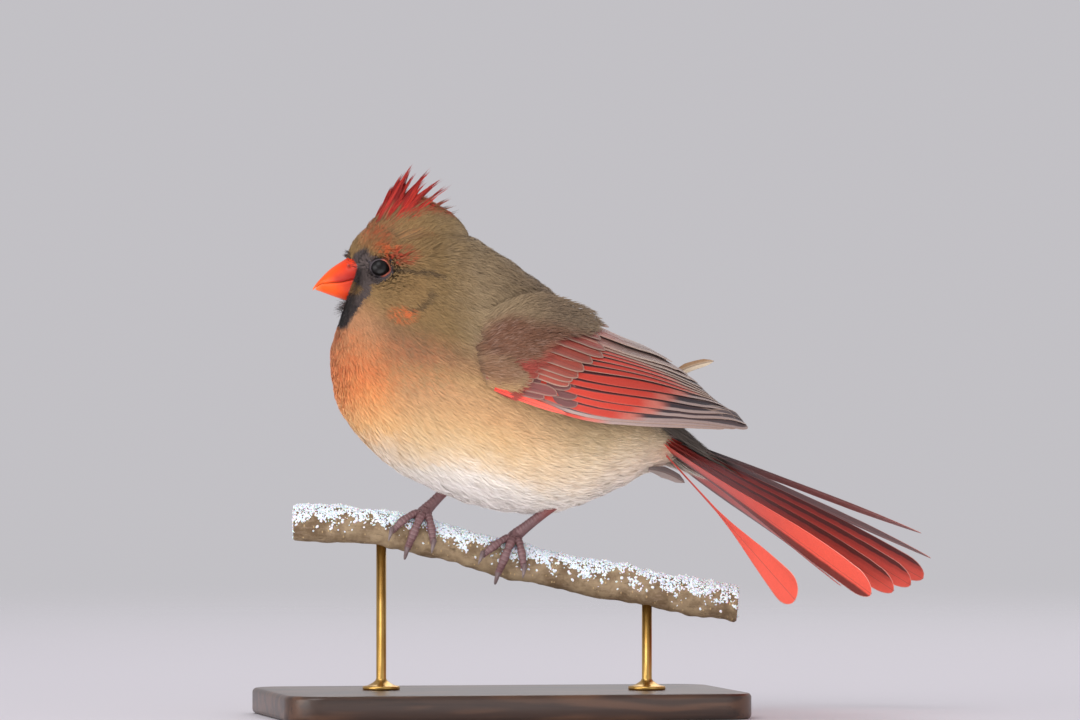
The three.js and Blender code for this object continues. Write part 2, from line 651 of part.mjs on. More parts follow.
function quill({ yaw, pitch, roll, length }, i) {
  const fromMiddle = Math.abs(i - (RECTRICES.length - 1) / 2) - 0.5;
  const level = vec(Math.cos(rad(yaw)), -Math.sin(rad(yaw)), 0);
  const fallen = TAIL_START * Math.tan(rad(pitch)) * 0.8;
  const root = TAIL_ROOT.clone()
    .addScaledVector(level, TAIL_START)
    .add(vec(0, 0, QUILLS.above - QUILLS.drop * fromMiddle - fallen));
  const outer = i < RECTRICES.length / 2 ? TAIL_OUTER_WEB : 1 - TAIL_OUTER_WEB;
  const size = { length: length - TAIL_START, width: TAIL_WIDTH };
  return plume({ root, yaw, pitch, roll, ...size, shape: BROAD, outer, ridged: true });
}

function tailCoverts({ count, behind, spacing, above, drop, length, taper, width, pitch, fan, roll }) {
  return Array.from({ length: count }, (_, i) => {
    const off = i - (count - 1) / 2;
    const root = TAIL_ROOT.clone().add(vec(behind, -spacing * off, above - drop * Math.abs(off)));
    const shorter = length - taper * Math.abs(off);
    const rolled = [roll * off, roll * off];
    return plume({ root, yaw: fan * off, pitch, length: shorter, width, roll: rolled, shape: ROUND });
  });
}

function tail() {
  const coverts = TAIL_COVERTS.flatMap(tailCoverts);
  return union([tailCore(), ...RECTRICES.map(quill), ...coverts]).subtract(bodyGrown);
}

// Branch

const perchCurve = line(
  PERCH_RISE.map(([along, z]) => vec(along * Math.cos(PERCH_YAW), along * Math.sin(PERCH_YAW), z)),
);
const PERCH_START = PERCH_RISE[0][0];
const PERCH_LENGTH = PERCH_RISE[PERCH_RISE.length - 1][0] - PERCH_START;

// The branch's middle at a distance along it, with the ways along, up from and left of it.
function perchFrame(along) {
  const level = vec(Math.cos(PERCH_YAW), Math.sin(PERCH_YAW), 0);
  const height = (d) => line(PERCH_RISE.map(([x, z]) => vec(x, 0, z))).getPoint(perchShare(d)).z;
  const at = level.clone().multiplyScalar(along).setZ(height(along));
  const ahead = level.clone().multiplyScalar(2).setZ(height(along + 1) - height(along - 1)).normalize();
  const left = ahead.clone().cross(UP).normalize();
  return { at, ahead, left, up: left.clone().cross(ahead) };
}

// The share of the branch's curve at a distance along it, which its uneven points bend.
function perchShare(along) {
  const last = PERCH_RISE.length - 1;
  return keyed(PERCH_RISE.map(([x], i) => [x, i / last]), along);
}

function perchShape(grow = 0) {
  return loft(
    Array.from({ length: PERCH_STEPS }, (_, i) => {
      const share = i / (PERCH_STEPS - 1);
      const along = PERCH_START + PERCH_LENGTH * share;
      const { at, left, up } = perchFrame(along);
      const swell = 1 + PERCH_SWELL.share * Math.sin(along * PERCH_SWELL.pace + 1);
      const radius = PERCH_RADIUS * swell + grow;
      return circle(at, left, up, radius, radius, PERCH_SIDES);
    }),
  );
}

// The branch with the gap that its neighbours keep round it
const perchGrown = perchShape(GAP * 1.1);

function perch() {
  const { at, left, up } = perchFrame(KNOT.along);
  const round = rad(KNOT.angle);
  const out = left.clone().multiplyScalar(Math.cos(round)).addScaledVector(up, Math.sin(round));
  const knot = ball(at.addScaledVector(out, KNOT.out), KNOT.radius, 8, 6);
  return perchShape().add(knot);
}

// Legs

// A point at an angle round the branch, a way out from its middle.
function roundPerch(along, angle, out) {
  const { at, left, up } = perchFrame(along);
  const round = rad(angle);
  return at.addScaledVector(left, out * Math.cos(round)).addScaledVector(up, out * Math.sin(round));
}

// A toe, which arches off the bark and tapers from joint to joint, and its claw, which hooks back to it
function toe({ along, angle }, { drift, wrap, thick, claw }) {
  const ring = PERCH_RADIUS + thick * 0.85;
  const path = Array.from({ length: TOE_STEPS + 1 }, (_, i) => {
    const share = i / TOE_STEPS;
    const arch = TOE_ARCH * Math.sin(Math.PI * Math.min(1, share * 1.15));
    const out = lerp(PERCH_RADIUS + PALM.lift, ring, Math.min(1, 2 * share)) + arch;
    return roundPerch(along + drift * Math.pow(share, 0.8), angle - wrap * share, out);
  });
  const end = angle - wrap;
  const turn = Math.sign(wrap);
  const clawPath = [0, 0.35, 0.7, 1].map((share) =>
    roundPerch(
      along + drift * (1 + 0.06 * share),
      end + turn * (8 - 34 * share * (claw / 6)),
      ring + 0.6 + 1.9 * Math.sin(share * 2.2) - 0.4 * share,
    ),
  );
  return tube(path, TOE_PADS.map((pad) => pad * thick), 6).add(tube(clawPath, CLAW_RADII, 5));
}

function foot(place) {
  const out = PERCH_RADIUS + PALM.lift + 0.2;
  const palm = ball(roundPerch(place.along, place.angle + PALM.round, out), PALM.radius, 8, 6);
  return union([palm, ...TOES.map((at) => toe(place, at))]);
}

// The shank, which a thin gap across it parts into the leg above and the foot below
function legParts(place) {
  const { along, angle, ankle } = place;
  const low = roundPerch(along, angle + SHANK_FOOT.round, PERCH_RADIUS + SHANK_FOOT.lift);
  const up = ankle.clone().sub(low).normalize();
  const part = low.dot(up) + SHANK_PART;
  const shaft = tube([low, low.clone().lerp(ankle, 0.5), ankle], SHANK_RADII, 10);
  const leg = shaft.trimByPlane(up.toArray(), part + GAP).subtract(bodyGrown);
  const below = up.clone().negate().toArray();
  return { leg, foot: shaft.add(foot(place)).trimByPlane(below, -part).subtract(perchGrown) };
}

// Stand

function standBase() {
  const { length, width, height, corner, bevel } = BASE;
  const x = length / 2 - bevel;
  const y = width / 2 - bevel;
  const r = corner;
  const outline = new THREE.Shape()
    .moveTo(-x + r, -y)
    .lineTo(x - r, -y)
    .absarc(x - r, -y + r, r, -Math.PI / 2, 0)
    .lineTo(x, y - r)
    .absarc(x - r, y - r, r, 0, Math.PI / 2)
    .lineTo(-x + r, y)
    .absarc(-x + r, y - r, r, Math.PI / 2, Math.PI)
    .lineTo(-x, -y + r)
    .absarc(-x + r, -y + r, r, Math.PI, 1.5 * Math.PI);
  const slab = new THREE.ExtrudeGeometry(outline, {
    depth: height - 2 * bevel,
    bevelThickness: bevel,
    bevelSize: bevel,
    bevelSegments: 1,
    curveSegments: 4,
  }).translate(0, 0, bevel);
  return solid(slab);
}

function rod(along) {
  const { at } = perchFrame(along);
  const floor = BASE.height + GAP;
  const top = at.z - floor;
  const profile = ROD_FOOT.map(([out, up]) => [out * ROD.flange, up * ROD.rim]);
  profile.push([ROD.radius, ROD_NECK * ROD.rim], [ROD.radius, top], [0, top]);
  const shape = new THREE.LatheGeometry(profile.map(([r, z]) => new THREE.Vector2(r, z)), 16);
  return solid(shape.rotateX(Math.PI / 2).translate(at.x, at.y, floor)).subtract(perchGrown);
}

// The whole model

const model = new THREE.Group();
const add = (name, made, material) => model.add(mesh(name, made, material));

add("head", head(), FINISH.plumage);
add("neck", bodyStretch(NECK_RINGS, { front: GAP / 2, rear: GAP / 2 }), FINISH.plumage);
add("torso", bodyStretch(TORSO_RINGS, { front: GAP / 2 }), FINISH.breast);
add("beak_upper", upperBill(), FINISH.bill);
add("beak_lower", lowerBill(), FINISH.bill);
add("crest", crest(), FINISH.crest);
add("tail", tail(), FINISH.tail);
for (const [label, side] of [["left", LEFT], ["right", RIGHT]]) {
  add(`eye_${label}`, ball(eyePlace(side), EYE_RADIUS, 12, 7), FINISH.eye);
  add(`wing_${label}`, wing(side), FINISH.wing);
  const { leg, foot: lower } = legParts(FEET[label]);
  add(`leg_${label}`, leg, FINISH.leg);
  add(`foot_${label}`, lower, FINISH.leg);
}
add("perch", perch(), FINISH.bark);
add("stand_base", standBase(), FINISH.wood);
add("stand_rod_front", rod(ROD.along[0]), FINISH.brass);
add("stand_rod_rear", rod(ROD.along[1]), FINISH.brass);

export default model;
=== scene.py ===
# %% [markdown]
# A life-size female northern cardinal, perched on a cut length of snowy branch over a plain display stand.
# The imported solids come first, because every piece below is placed by them. Their box is kept at once, so
# that it can be set against the finished model at the end.

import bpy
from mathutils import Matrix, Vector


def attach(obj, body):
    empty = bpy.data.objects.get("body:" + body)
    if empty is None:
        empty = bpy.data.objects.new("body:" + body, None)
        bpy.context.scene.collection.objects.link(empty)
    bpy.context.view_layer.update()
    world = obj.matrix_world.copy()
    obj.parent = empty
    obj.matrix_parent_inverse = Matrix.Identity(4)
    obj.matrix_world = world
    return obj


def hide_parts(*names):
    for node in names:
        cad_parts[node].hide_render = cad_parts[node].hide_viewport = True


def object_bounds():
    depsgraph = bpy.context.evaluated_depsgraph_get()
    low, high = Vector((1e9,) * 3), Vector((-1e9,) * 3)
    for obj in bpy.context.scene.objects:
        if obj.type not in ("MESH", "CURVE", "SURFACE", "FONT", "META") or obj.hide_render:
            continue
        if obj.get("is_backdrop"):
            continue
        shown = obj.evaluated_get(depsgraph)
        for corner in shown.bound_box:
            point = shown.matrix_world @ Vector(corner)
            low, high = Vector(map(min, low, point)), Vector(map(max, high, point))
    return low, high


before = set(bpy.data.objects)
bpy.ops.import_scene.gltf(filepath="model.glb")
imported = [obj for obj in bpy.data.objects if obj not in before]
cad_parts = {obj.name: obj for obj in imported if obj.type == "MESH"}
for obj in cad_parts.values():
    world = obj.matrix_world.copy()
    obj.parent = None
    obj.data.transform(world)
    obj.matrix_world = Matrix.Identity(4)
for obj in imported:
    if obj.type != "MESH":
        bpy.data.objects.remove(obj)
solid_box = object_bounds()
print("solids", len(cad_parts), "from", [round(c, 3) for c in solid_box[0]])

# %% [markdown]
# Numbers are easiest to read in millimetres on an animal this small, and Blender works in metres. So shapes
# are worked out in millimetres as NumPy arrays, thousands of points at a time, and are scaled once, where
# a mesh is made of them.

# %% Units and small helpers
import math

import bpy
import numpy as np
from mathutils import Vector

MM = 0.001
LEFT, RIGHT = -1, 1
SIDES = ((LEFT, "left"), (RIGHT, "right"))
UP = np.array([0.0, 0.0, 1.0])


def unit(vectors):
    return vectors / np.maximum(np.linalg.norm(vectors, axis=-1, keepdims=True), 1e-12)


def blend(a, b, share):
    return a + (b - a) * share


def ease(value, low, high):
    """0 below low, 1 above high, and a soft curve between them."""
    share = np.clip((np.asarray(value, float) - low) / (high - low), 0, 1)
    return share * share * (3 - 2 * share)


def keyed(pairs, value):
    """The value on straight lines between (key, value) pairs."""
    keys, values = zip(*pairs)
    return np.interp(value, keys, values)


def evenly(values, share):
    """The value on straight lines between values that stand evenly from 0 to 1."""
    return np.interp(share, np.linspace(0, 1, len(values)), values)


def columns(*parts):
    """Stacks x, y and z, given as arrays or numbers, into points."""
    return np.stack(np.broadcast_arrays(*[np.asarray(part, float) for part in parts]), axis=-1)


# %% [markdown]
# The photograph is taken level, from ten degrees in front of square on, with a long lens that hardly
# foreshortens. The camera is made first, so that every render can be laid beside the photograph.

# %% Camera
CAMERA_AZIMUTH = math.radians(-10)
CAMERA_DISTANCE = 2880
AIM_RIGHT, AIM_HEIGHT = 12.8, 113.9
LENS = 300

camera_right = Vector((math.cos(CAMERA_AZIMUTH), math.sin(CAMERA_AZIMUTH), 0))
camera_back = Vector((math.sin(CAMERA_AZIMUTH), -math.cos(CAMERA_AZIMUTH), 0))
camera_data = bpy.data.cameras.new("camera")
camera_data.lens = LENS
camera_data.clip_start, camera_data.clip_end = 0.1, 100
camera = bpy.data.objects.new("camera", camera_data)
camera_aim = camera_right * AIM_RIGHT + Vector((0, 0, AIM_HEIGHT))
camera.location = (camera_aim + camera_back * CAMERA_DISTANCE) * MM
camera.rotation_euler = (-camera_back).to_track_quat("-Z", "Y").to_euler()
bpy.context.scene.collection.objects.link(camera)
bpy.context.scene.camera = camera
print("camera at", [round(c, 3) for c in camera.location])

# %% [markdown]
# A material is a tree of nodes, but its maths reads best as a formula. A Wire stands for one output socket,
# and its operators add Math nodes. A Finish is a material: its node method takes a node's type, its
# settings and its inputs, and gives back Wires.


# %% Materials written as formulas
def paint(code):
    """A linear colour from the six hexadecimal digits of a screen colour."""
    channels = [int(code[i : i + 2], 16) / 255 for i in (0, 2, 4)]
    return tuple(c / 12.92 if c <= 0.04045 else ((c + 0.055) / 1.055) ** 2.4 for c in channels) + (1.0,)


class Wire:
    """One output socket. Arithmetic on it adds a Math node and gives that node's output."""

    def __init__(self, finish, socket):
        self.finish, self.socket = finish, socket

    def math(self, operation, *values):
        numbered = dict(enumerate(values))
        return self.finish.node("ShaderNodeMath", {"operation": operation}, numbered)

    def __add__(self, other):
        return self.math("ADD", self, other)

    def __sub__(self, other):
        return self.math("SUBTRACT", self, other)

    def __rsub__(self, other):
        return self.math("SUBTRACT", other, self)

    def __mul__(self, other):
        return self.math("MULTIPLY", self, other)

    __radd__, __rmul__ = __add__, __mul__

    def sine(self):
        return self.math("SINE", self)

    def size(self):
        return self.math("ABSOLUTE", self)


class Finish:
    """A material with one main shader, whose plain values are set by name on the shader itself."""

    def __init__(self, name, **values):
        self.material = bpy.data.materials.new(name)
        self.material.use_nodes = True
        self.tree = self.material.node_tree
        self.shader = self.tree.nodes["Principled BSDF"]
        self.set(**values)

    def feed(self, node, inputs):
        for key, value in inputs.items():
            if isinstance(value, Wire):
                self.tree.links.new(value.socket, node.inputs[key])
            elif value is not None:
                node.inputs[key].default_value = value

    def set(self, **values):
        self.feed(self.shader, {key.replace("_", " "): value for key, value in values.items()})
        return self

    def node(self, kind, settings=None, inputs=None, output=0):
        made = self.tree.nodes.new(kind)
        for key, value in (settings or {}).items():
            if key == "stops":
                self.stops(made.color_ramp, value)
            else:
                setattr(made, key, value)
        self.feed(made, inputs or {})
        return Wire(self, made.outputs[output])

    @staticmethod
    def stops(ramp, stops):
        """Sets a ramp's stops, of which the first is at 0 and the last at 1."""
        for place, _ in stops[1:-1]:
            ramp.elements.new(place)
        for element, (_, colour) in zip(ramp.elements, stops):
            element.color = colour

    def value(self, name):
        return self.node("ShaderNodeAttribute", {"attribute_name": name}, output="Fac")

    def values(self, *names):
        return [self.value(name) for name in names]

    def place(self):
        return self.node("ShaderNodeTexCoord", output="Object")

    def stretched(self, vector, scale):
        return self.node("ShaderNodeVectorMath", {"operation": "MULTIPLY"}, {0: vector, 1: scale})

    def noise(self, vector, scale, detail=3.0, roughness=0.5):
        inputs = {"Vector": vector, "Scale": scale, "Detail": detail, "Roughness": roughness}
        return self.node("ShaderNodeTexNoise", None, inputs, "Fac")

    def step(self, wire, low, high):
        inputs = {"Value": wire, "From Min": low, "From Max": high}
        return self.node("ShaderNodeMapRange", {"interpolation_type": "SMOOTHSTEP"}, inputs)

    def ramp(self, wire, *stops):
        """The colour on a ramp of (place, colour) stops."""
        return self.node("ShaderNodeValToRGB", {"stops": stops}, {"Fac": wire})

    def mix(self, share, first, second, how="MIX"):
        settings = {"data_type": "RGBA", "blend_type": how, "clamp_factor": True}
        return self.node("ShaderNodeMix", settings, {0: share, 6: first, 7: second}, 2)

    def layers(self, colour, *coats):
        """Lays (share, colour) coats over a colour, one after another."""
        for share, coat in coats:
            colour = self.mix(share, colour, coat)
        return colour

    def grey(self, wire):
        return self.node("ShaderNodeCombineColor", None, {"Red": wire, "Green": wire, "Blue": wire})

    def bump(self, height, distance, strength=1.0):
        inputs = {"Height": height, "Distance": distance * MM, "Strength": strength}
        return self.node("ShaderNodeBump", None, inputs)


# %% [markdown]
# Each piece gathers many small shapes: feathers, barbs or scales. Parts collects their points and faces and
# makes one mesh of them. It also keeps a value per point, such as how far along a feather the point lies,
# for the materials to read, and a UV map named OFBake, on which the colours can be baked later.


# %% Gather shapes into one piece
class Parts:
    def __init__(self):
        self.points, self.quads, self.tris, self.uv, self.values, self.count = [], [], [], [], {}, 0
        self.facing = []

    def add(self, points, quads=None, tris=None, uv=None, facing=None, **values):
        if facing is not None:
            self.facing.append(facing)
        for faces, kept, sides in ((quads, self.quads, 4), (tris, self.tris, 3)):
            if faces is not None and len(faces):
                kept.append(np.asarray(faces).reshape(-1, sides) + self.count)
        self.points.append(points)
        self.uv.append(np.zeros((len(points), 2)) if uv is None else uv)
        for name, value in values.items():
            self.values.setdefault(name, []).append(np.broadcast_to(value, len(points)))
        self.count += len(points)

    def piece(self, name, finish, slot, stands_for=()):
        points = np.concatenate(self.points) * MM
        quads = np.concatenate(self.quads) if self.quads else np.zeros((0, 4), int)
        tris = np.concatenate(self.tris) if self.tris else np.zeros((0, 3), int)
        corners = np.concatenate([quads.ravel(), tris.ravel()]).astype(np.int32)
        sizes = np.concatenate([np.full(len(quads), 4), np.full(len(tris), 3)])
        mesh = bpy.data.meshes.new(name)
        mesh.vertices.add(len(points))
        mesh.vertices.foreach_set("co", points.astype(np.float32).ravel())
        mesh.loops.add(len(corners))
        mesh.loops.foreach_set("vertex_index", corners)
        mesh.polygons.add(len(sizes))
        mesh.polygons.foreach_set("loop_start", (np.cumsum(sizes) - sizes).astype(np.int32))
        mesh.polygons.foreach_set("use_smooth", np.full(len(sizes), True))
        mesh.update(calc_edges=True)
        layer = mesh.uv_layers.new(name="OFBake")
        layer.data.foreach_set("uv", np.concatenate(self.uv)[corners].astype(np.float32).ravel())
        for key, parts in self.values.items():
            attribute = mesh.attributes.new(key, "FLOAT", "POINT")
            attribute.data.foreach_set("value", np.concatenate(parts).astype(np.float32))
        if self.facing:
            mesh.normals_split_custom_set_from_vertices(np.concatenate(self.facing).astype(np.float32))
        mesh.materials.append(finish.material)
        made = bpy.data.objects.new(name, mesh)
        bpy.context.scene.collection.objects.link(made)
        dress(made, stands_for)
        print(name, len(points), "points", 2 * len(quads) + len(tris), "triangles")
        return made


def dress(made, stands_for=()):
    """Ties a finished piece to the frame: its body, and the solids it stands for."""
    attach(made, "root")
    if stands_for:
        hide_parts(*stands_for)


def grid_faces(rows, around):
    """Quads of a grid of points in rows, where the end of each row is joined to its start."""
    row = np.arange(rows - 1)[:, None] * around
    here = np.arange(around)[None, :]
    after = (here + 1) % around
    corners = [row + here, row + after, row + around + after, row + around + here]
    return np.stack(corners, axis=-1).reshape(-1, 4)


def end_faces(rows, around):
    """Triangles that close both ends of such a grid, round two points that follow the grid's own."""
    here = np.arange(around)
    after = (here + 1) % around
    last, count = (rows - 1) * around, rows * around
    front, rear = columns(after, here, count), columns(last + here, last + after, count + 1)
    return np.concatenate([front, rear]).astype(int)


# %% [markdown]
# Head, neck and body are one smooth form: a row of ovals from the base of the bill to the root of the tail.
# A spline through a few stations gives any oval between them. The same numbers shape the solids, so the
# bird's skin can be laid a feather's depth inside them, and every feather knows where it grows and which way
# it lies.

# %% The form of the body
# Stations: the back's point, the belly's point below it, both x and z, and half the width
BODY = np.array([
    [-49.9, 146.0, -48.8, 132.6, 5.6],
    [-47.4, 151.0, -49.8, 127.4, 8.2],
    [-42.5, 155.0, -52.5, 123.2, 10.2],
    [-34.9, 157.2, -54.4, 117.1, 12.4],
    [-24.6, 157.6, -54.3, 109.4, 15.5],
    [-13.6, 155.2, -52.5, 100.5, 20.0],
    [-2.6, 149.6, -46.8, 90.9, 25.5],
    [9.1, 141.8, -36.4, 80.6, 30.0],
    [20.8, 133.0, -20.8, 72.0, 32.0],
    [31.8, 124.0, -2.6, 66.2, 31.0],
    [41.6, 115.0, 14.9, 65.3, 27.0],
    [48.4, 106.0, 31.8, 70.0, 19.5],
    [52.6, 98.2, 43.6, 75.6, 11.5],
    [56.0, 93.2, 51.8, 79.4, 6.0],
])
BODY_LAST = len(BODY) - 1
BELLY_FULLER = 0.1
FACE_SWEEP, FACE_SWEPT = 4.6, 3.0
HEAD_TURN = math.radians(-10)
TURN_PIVOT_X, TURN_FULL, TURN_NONE = -20.0, 3.4, 7.5
NEAR = 0.02  # how far to each side of a place a surface's slope is measured


def through(knots, share):
    """Points on a smooth curve through the knots, which share runs along from 0 to 1."""
    share = np.clip(share, 0, 1) * (len(knots) - 1)
    first = np.minimum(share.astype(int), len(knots) - 2)
    rest = (share - first)[..., None]
    padded = np.vstack([2 * knots[0] - knots[1], knots, 2 * knots[-1] - knots[-2]])
    p0, p1, p2, p3 = (padded[first + k] for k in range(4))
    gap = [np.sqrt(np.linalg.norm(b - a, axis=-1, keepdims=True)) for a, b in ((p0, p1), (p1, p2), (p2, p3))]
    middle = np.where(gap[1] < 1e-4, 1.0, gap[1])
    before = np.where(gap[0] < 1e-4, middle, gap[0])
    after = np.where(gap[2] < 1e-4, middle, gap[2])
    start = ((p1 - p0) / before - (p2 - p0) / (before + middle) + (p2 - p1) / middle) * middle
    end = ((p2 - p1) / middle - (p3 - p1) / (middle + after) + (p3 - p2) / after) * middle
    return (
        p1
        + start * rest
        + (3 * (p2 - p1) - 2 * start - end) * rest**2
        + (2 * (p1 - p2) + start + end) * rest**3
    )


def turn_head(points, share=1.0):
    """Turns points about the neck, by a share of the head's turn to the bird's right."""
    angle = HEAD_TURN * np.asarray(share)
    x, y = points[..., 0] - TURN_PIVOT_X, points[..., 1]
    return columns(
        TURN_PIVOT_X + x * np.cos(angle) - y * np.sin(angle),
        x * np.sin(angle) + y * np.cos(angle),
        points[..., 2],
    )


def turn_way(way):
    """Turns directions with the head."""
    return turn_head(way) - turn_head(np.zeros(3))


def body_at(station, angle, turned=True):
    """Points on the body's outline: angle is 0 along the back, and grows round the bird's right side."""
    station, angle = np.broadcast_arrays(np.asarray(station, float), np.asarray(angle, float))
    share = station / BODY_LAST
    top, low = through(BODY[:, :2], share), through(BODY[:, 2:4], share)
    half = through(BODY[:, 4:], share)[..., 0]
    centre, reach = (top + low) / 2, top - low
    high = np.linalg.norm(reach, axis=-1) / 2
    reach = unit(reach)
    swept = FACE_SWEEP * np.sin(angle) ** 2 * (1 - ease(station, 0, FACE_SWEPT))
    x = centre[..., 0] + reach[..., 0] * high * np.cos(angle) + reach[..., 1] * swept
    z = centre[..., 1] + reach[..., 1] * high * np.cos(angle) - reach[..., 0] * swept
    y = half * (1 - BELLY_FULLER * np.cos(angle)) * np.sin(angle)
    points = columns(x, y, z)
    return turn_head(points, 1 - ease(station, TURN_FULL, TURN_NONE)) if turned else points


def surface_frame(surface, u, v):
    """Point, way along u, and outward normal on a surface."""
    point = surface(u, v)
    along = unit(surface(u + NEAR, v) - surface(u - NEAR, v))
    across = surface(u, v + NEAR) - surface(u, v - NEAR)
    return point, along, unit(np.cross(along, across))


print("body from", body_at(0, 0).round(1), "to", body_at(BODY_LAST, 0).round(1))

# %% [markdown]
# The crest grows from a low ridge on the crown. It is a second small surface: ovals stacked from the crown
# up, each a little further back than the one below.

# %% The form of the crest's ridge
# Ovals from the crown up: front x and z, rear x and z, and half the width
CREST_RIDGE = np.array([
    [-44.2, 149.0, -9.5, 149.0, 9.3],
    [-43.4, 155.5, -11.5, 156.2, 7.4],
    [-40.0, 160.4, -16.5, 161.2, 4.6],
    [-36.6, 164.6, -24.5, 165.0, 2.0],
])
CREST_LAST = len(CREST_RIDGE) - 1


def crest_at(station, angle):
    """Points on the ridge: angle is 0 at its rear, and grows round the bird's left side."""
    station, angle = np.broadcast_arrays(np.asarray(station, float), np.asarray(angle, float))
    knots = through(CREST_RIDGE, station / CREST_LAST)
    x = blend(knots[..., 0], knots[..., 2], 0.5 + 0.5 * np.cos(angle))
    z = blend(knots[..., 1], knots[..., 3], 0.5 + 0.5 * np.cos(angle))
    return turn_head(columns(x, -knots[..., 4] * np.sin(angle), z))


# %% [markdown]
# The folded wing lies on a curved sheet, from the shoulder to the wing's tip. Each station has a point on
# its upper edge, one in the middle and one on its lower edge, and a parabola joins the three.

# %% The form of the folded wing
# Stations: x, distance from the middle of the bird, and z of the upper, middle and lower point
WING = np.array([
    [[-12.2, 25.5, 126.1], [-11.3, 30.0, 114.6], [-8.3, 31.5, 104.3]],
    [[6.6, 22.5, 131.5], [3.5, 33.5, 115.5], [5.4, 34.5, 99.5]],
    [[27.5, 14.0, 127.0], [22.5, 32.5, 112.0], [22.2, 34.0, 94.4]],
    [[44.0, 8.5, 119.6], [41.4, 26.5, 108.0], [41.1, 28.5, 92.5]],
    [[59.6, 7.5, 109.4], [58.7, 18.5, 101.8], [58.4, 21.0, 91.8]],
    [[69.9, 7.5, 100.9], [69.8, 13.5, 97.0], [69.5, 15.0, 91.4]],
    [[78.8, 9.0, 93.4], [79.2, 10.5, 92.2], [79.8, 11.0, 90.7]],
])


def wing_at(side, s, t):
    """Points on a wing: s runs from the shoulder to the tip, t from the upper edge to the lower one."""
    s, t = np.broadcast_arrays(np.asarray(s, float), np.asarray(t, float))
    mirror = np.array([1, side, 1])
    top, mid, low = (through(WING[:, k] * mirror, s) for k in range(3))
    t = t[..., None]
    return top * (1 - t) * (1 - 2 * t) + mid * 4 * t * (1 - t) + low * t * (2 * t - 1)


def wing_frame(side, s, t):
    """Point, way towards the tip, and outward normal on a wing."""
    point = wing_at(side, s, t)
    along = unit(wing_at(side, s + NEAR, t) - wing_at(side, s - NEAR, t))
    down = wing_at(side, s, t + NEAR) - wing_at(side, s, t - NEAR)
    return point, along, unit(np.cross(along, down)) * side


# %% [markdown]
# A cardinal hen is olive brown above, tan on the crown and face, and golden below, paling to a creamy white
# belly. Her face is charcoal round the bill, with a red brow, and her upper breast is washed with orange.
# Where each colour lies is worked out from a feather's place on the bird, as a share from 0 to 1, and both
# the skin and the feathers carry these shares. The colours themselves are mixed in the material.

# %% Where the colours lie
EYE = np.array([-38.4, 9.1, 143.2])
EYE_RADIUS = 3.6
# Height, for a place along the bird, where the olive back gives way to the golden underside
BACK_EDGE = [
    (-60, 140), (-46, 133), (-36, 127), (-28, 123), (-20, 119), (-10, 114), (0, 106), (25, 97), (60, 94),
]
# Height, for a place along the bird, where the underside is golden; it pales below and browns above
GOLD_LINE = [(-60, 107), (-22, 106), (-10, 102), (3, 96), (16, 92), (24, 93), (32, 95), (44, 97), (60, 97)]
UNDER_LOW, UNDER_HIGH = -30.0, 20.0  # mm from that line to the whitest and the brownest feathers
# Share of tan for a place along the bird, and heights above which the crown is crimson and the rump grey
TAN = [(-30, 1), (-22, 0.8), (-12, 0.5), (-4, 0.42), (10, 0)]
CRIMSON_EDGE = [(-45, 156), (-36, 158), (-26, 160), (-19, 160), (-12, 164)]
GREY_EDGE = [(36, 96), (60, 84)]
# The orange wash on the breast: strength, where it fades to the rear, and at which heights below and above
WASHES = [(0.34, (-51, -40), (96, 108), (122, 130)), (0.22, (-32, -16), (100, 110), (119, 127))]
# Ovals of a colour, seen from the side: strength, x and z of the middle, half the width and the height
OVALS = {
    "red": [(0.8, -34.6, 130.0, 3.8, 2.4), (0.9, -38.2, 148.8, 3.6, 1.5), (0.3, -42.0, 151.0, 4.0, 4.0)],
    "rust": [(1.0, -4.0, 119.5, 10.0, 6.5), (0.7, -6.0, 111.5, 6.0, 5.0)],
    "mask": [(1.0, -44.8, 142.6, 4.0, 4.6, 0.25), (1.0, -40.6, 142.4, 3.6, 4.0, 0.25)],
    "crimson": [(0.42, -40.5, 154.0, 5.0, 5.0), (0.8, -33.6, 147.2, 4.0, 2.2)],
}
# Lines of a colour: strength, width and the places that each runs through
STROKES = {
    "mask": [(1.0, 1.5, [(-44.2, 138.0), (-46.9, 134.2), (-49.2, 130.6), (-50.8, 127.6)])],
    "line": [
        (1.0, 0.9, [(-34.5, 143.2), (-28, 143.4), (-21.7, 142.4)]),
        (0.8, 0.9, [(-25.4, 137.0), (-28.6, 132.6), (-32.0, 131.4)]),
    ],
}


def spot(points, x, z, across, high, edge=0.4):
    """1 inside an oval seen from the side, which fades round its edge."""
    off = np.hypot((points[..., 0] - x) / across, (points[..., 2] - z) / high)
    return 1 - ease(off, 1 - edge, 1 + edge)


def stroke(points, wide, path):
    """1 on a thin line seen from the side."""
    nearest = np.full(points.shape[:-1], 1e9)
    flat = points[..., [0, 2]]
    for a, b in zip(np.array(path[:-1], float), np.array(path[1:], float)):
        share = np.clip((flat - a) @ (b - a) / ((b - a) @ (b - a)), 0, 1)[..., None]
        nearest = np.minimum(nearest, np.linalg.norm(flat - a - share * (b - a), axis=-1))
    return 1 - ease(nearest, 0.4 * wide, 1.2 * wide)


def most(*shares):
    return np.maximum.reduce(shares)


def drawn(points, colour):
    """The share of a colour in each of its ovals and lines."""
    ovals = [strength * spot(points, *oval) for strength, *oval in OVALS.get(colour, [])]
    return ovals + [strength * stroke(points, *line) for strength, *line in STROKES.get(colour, [])]


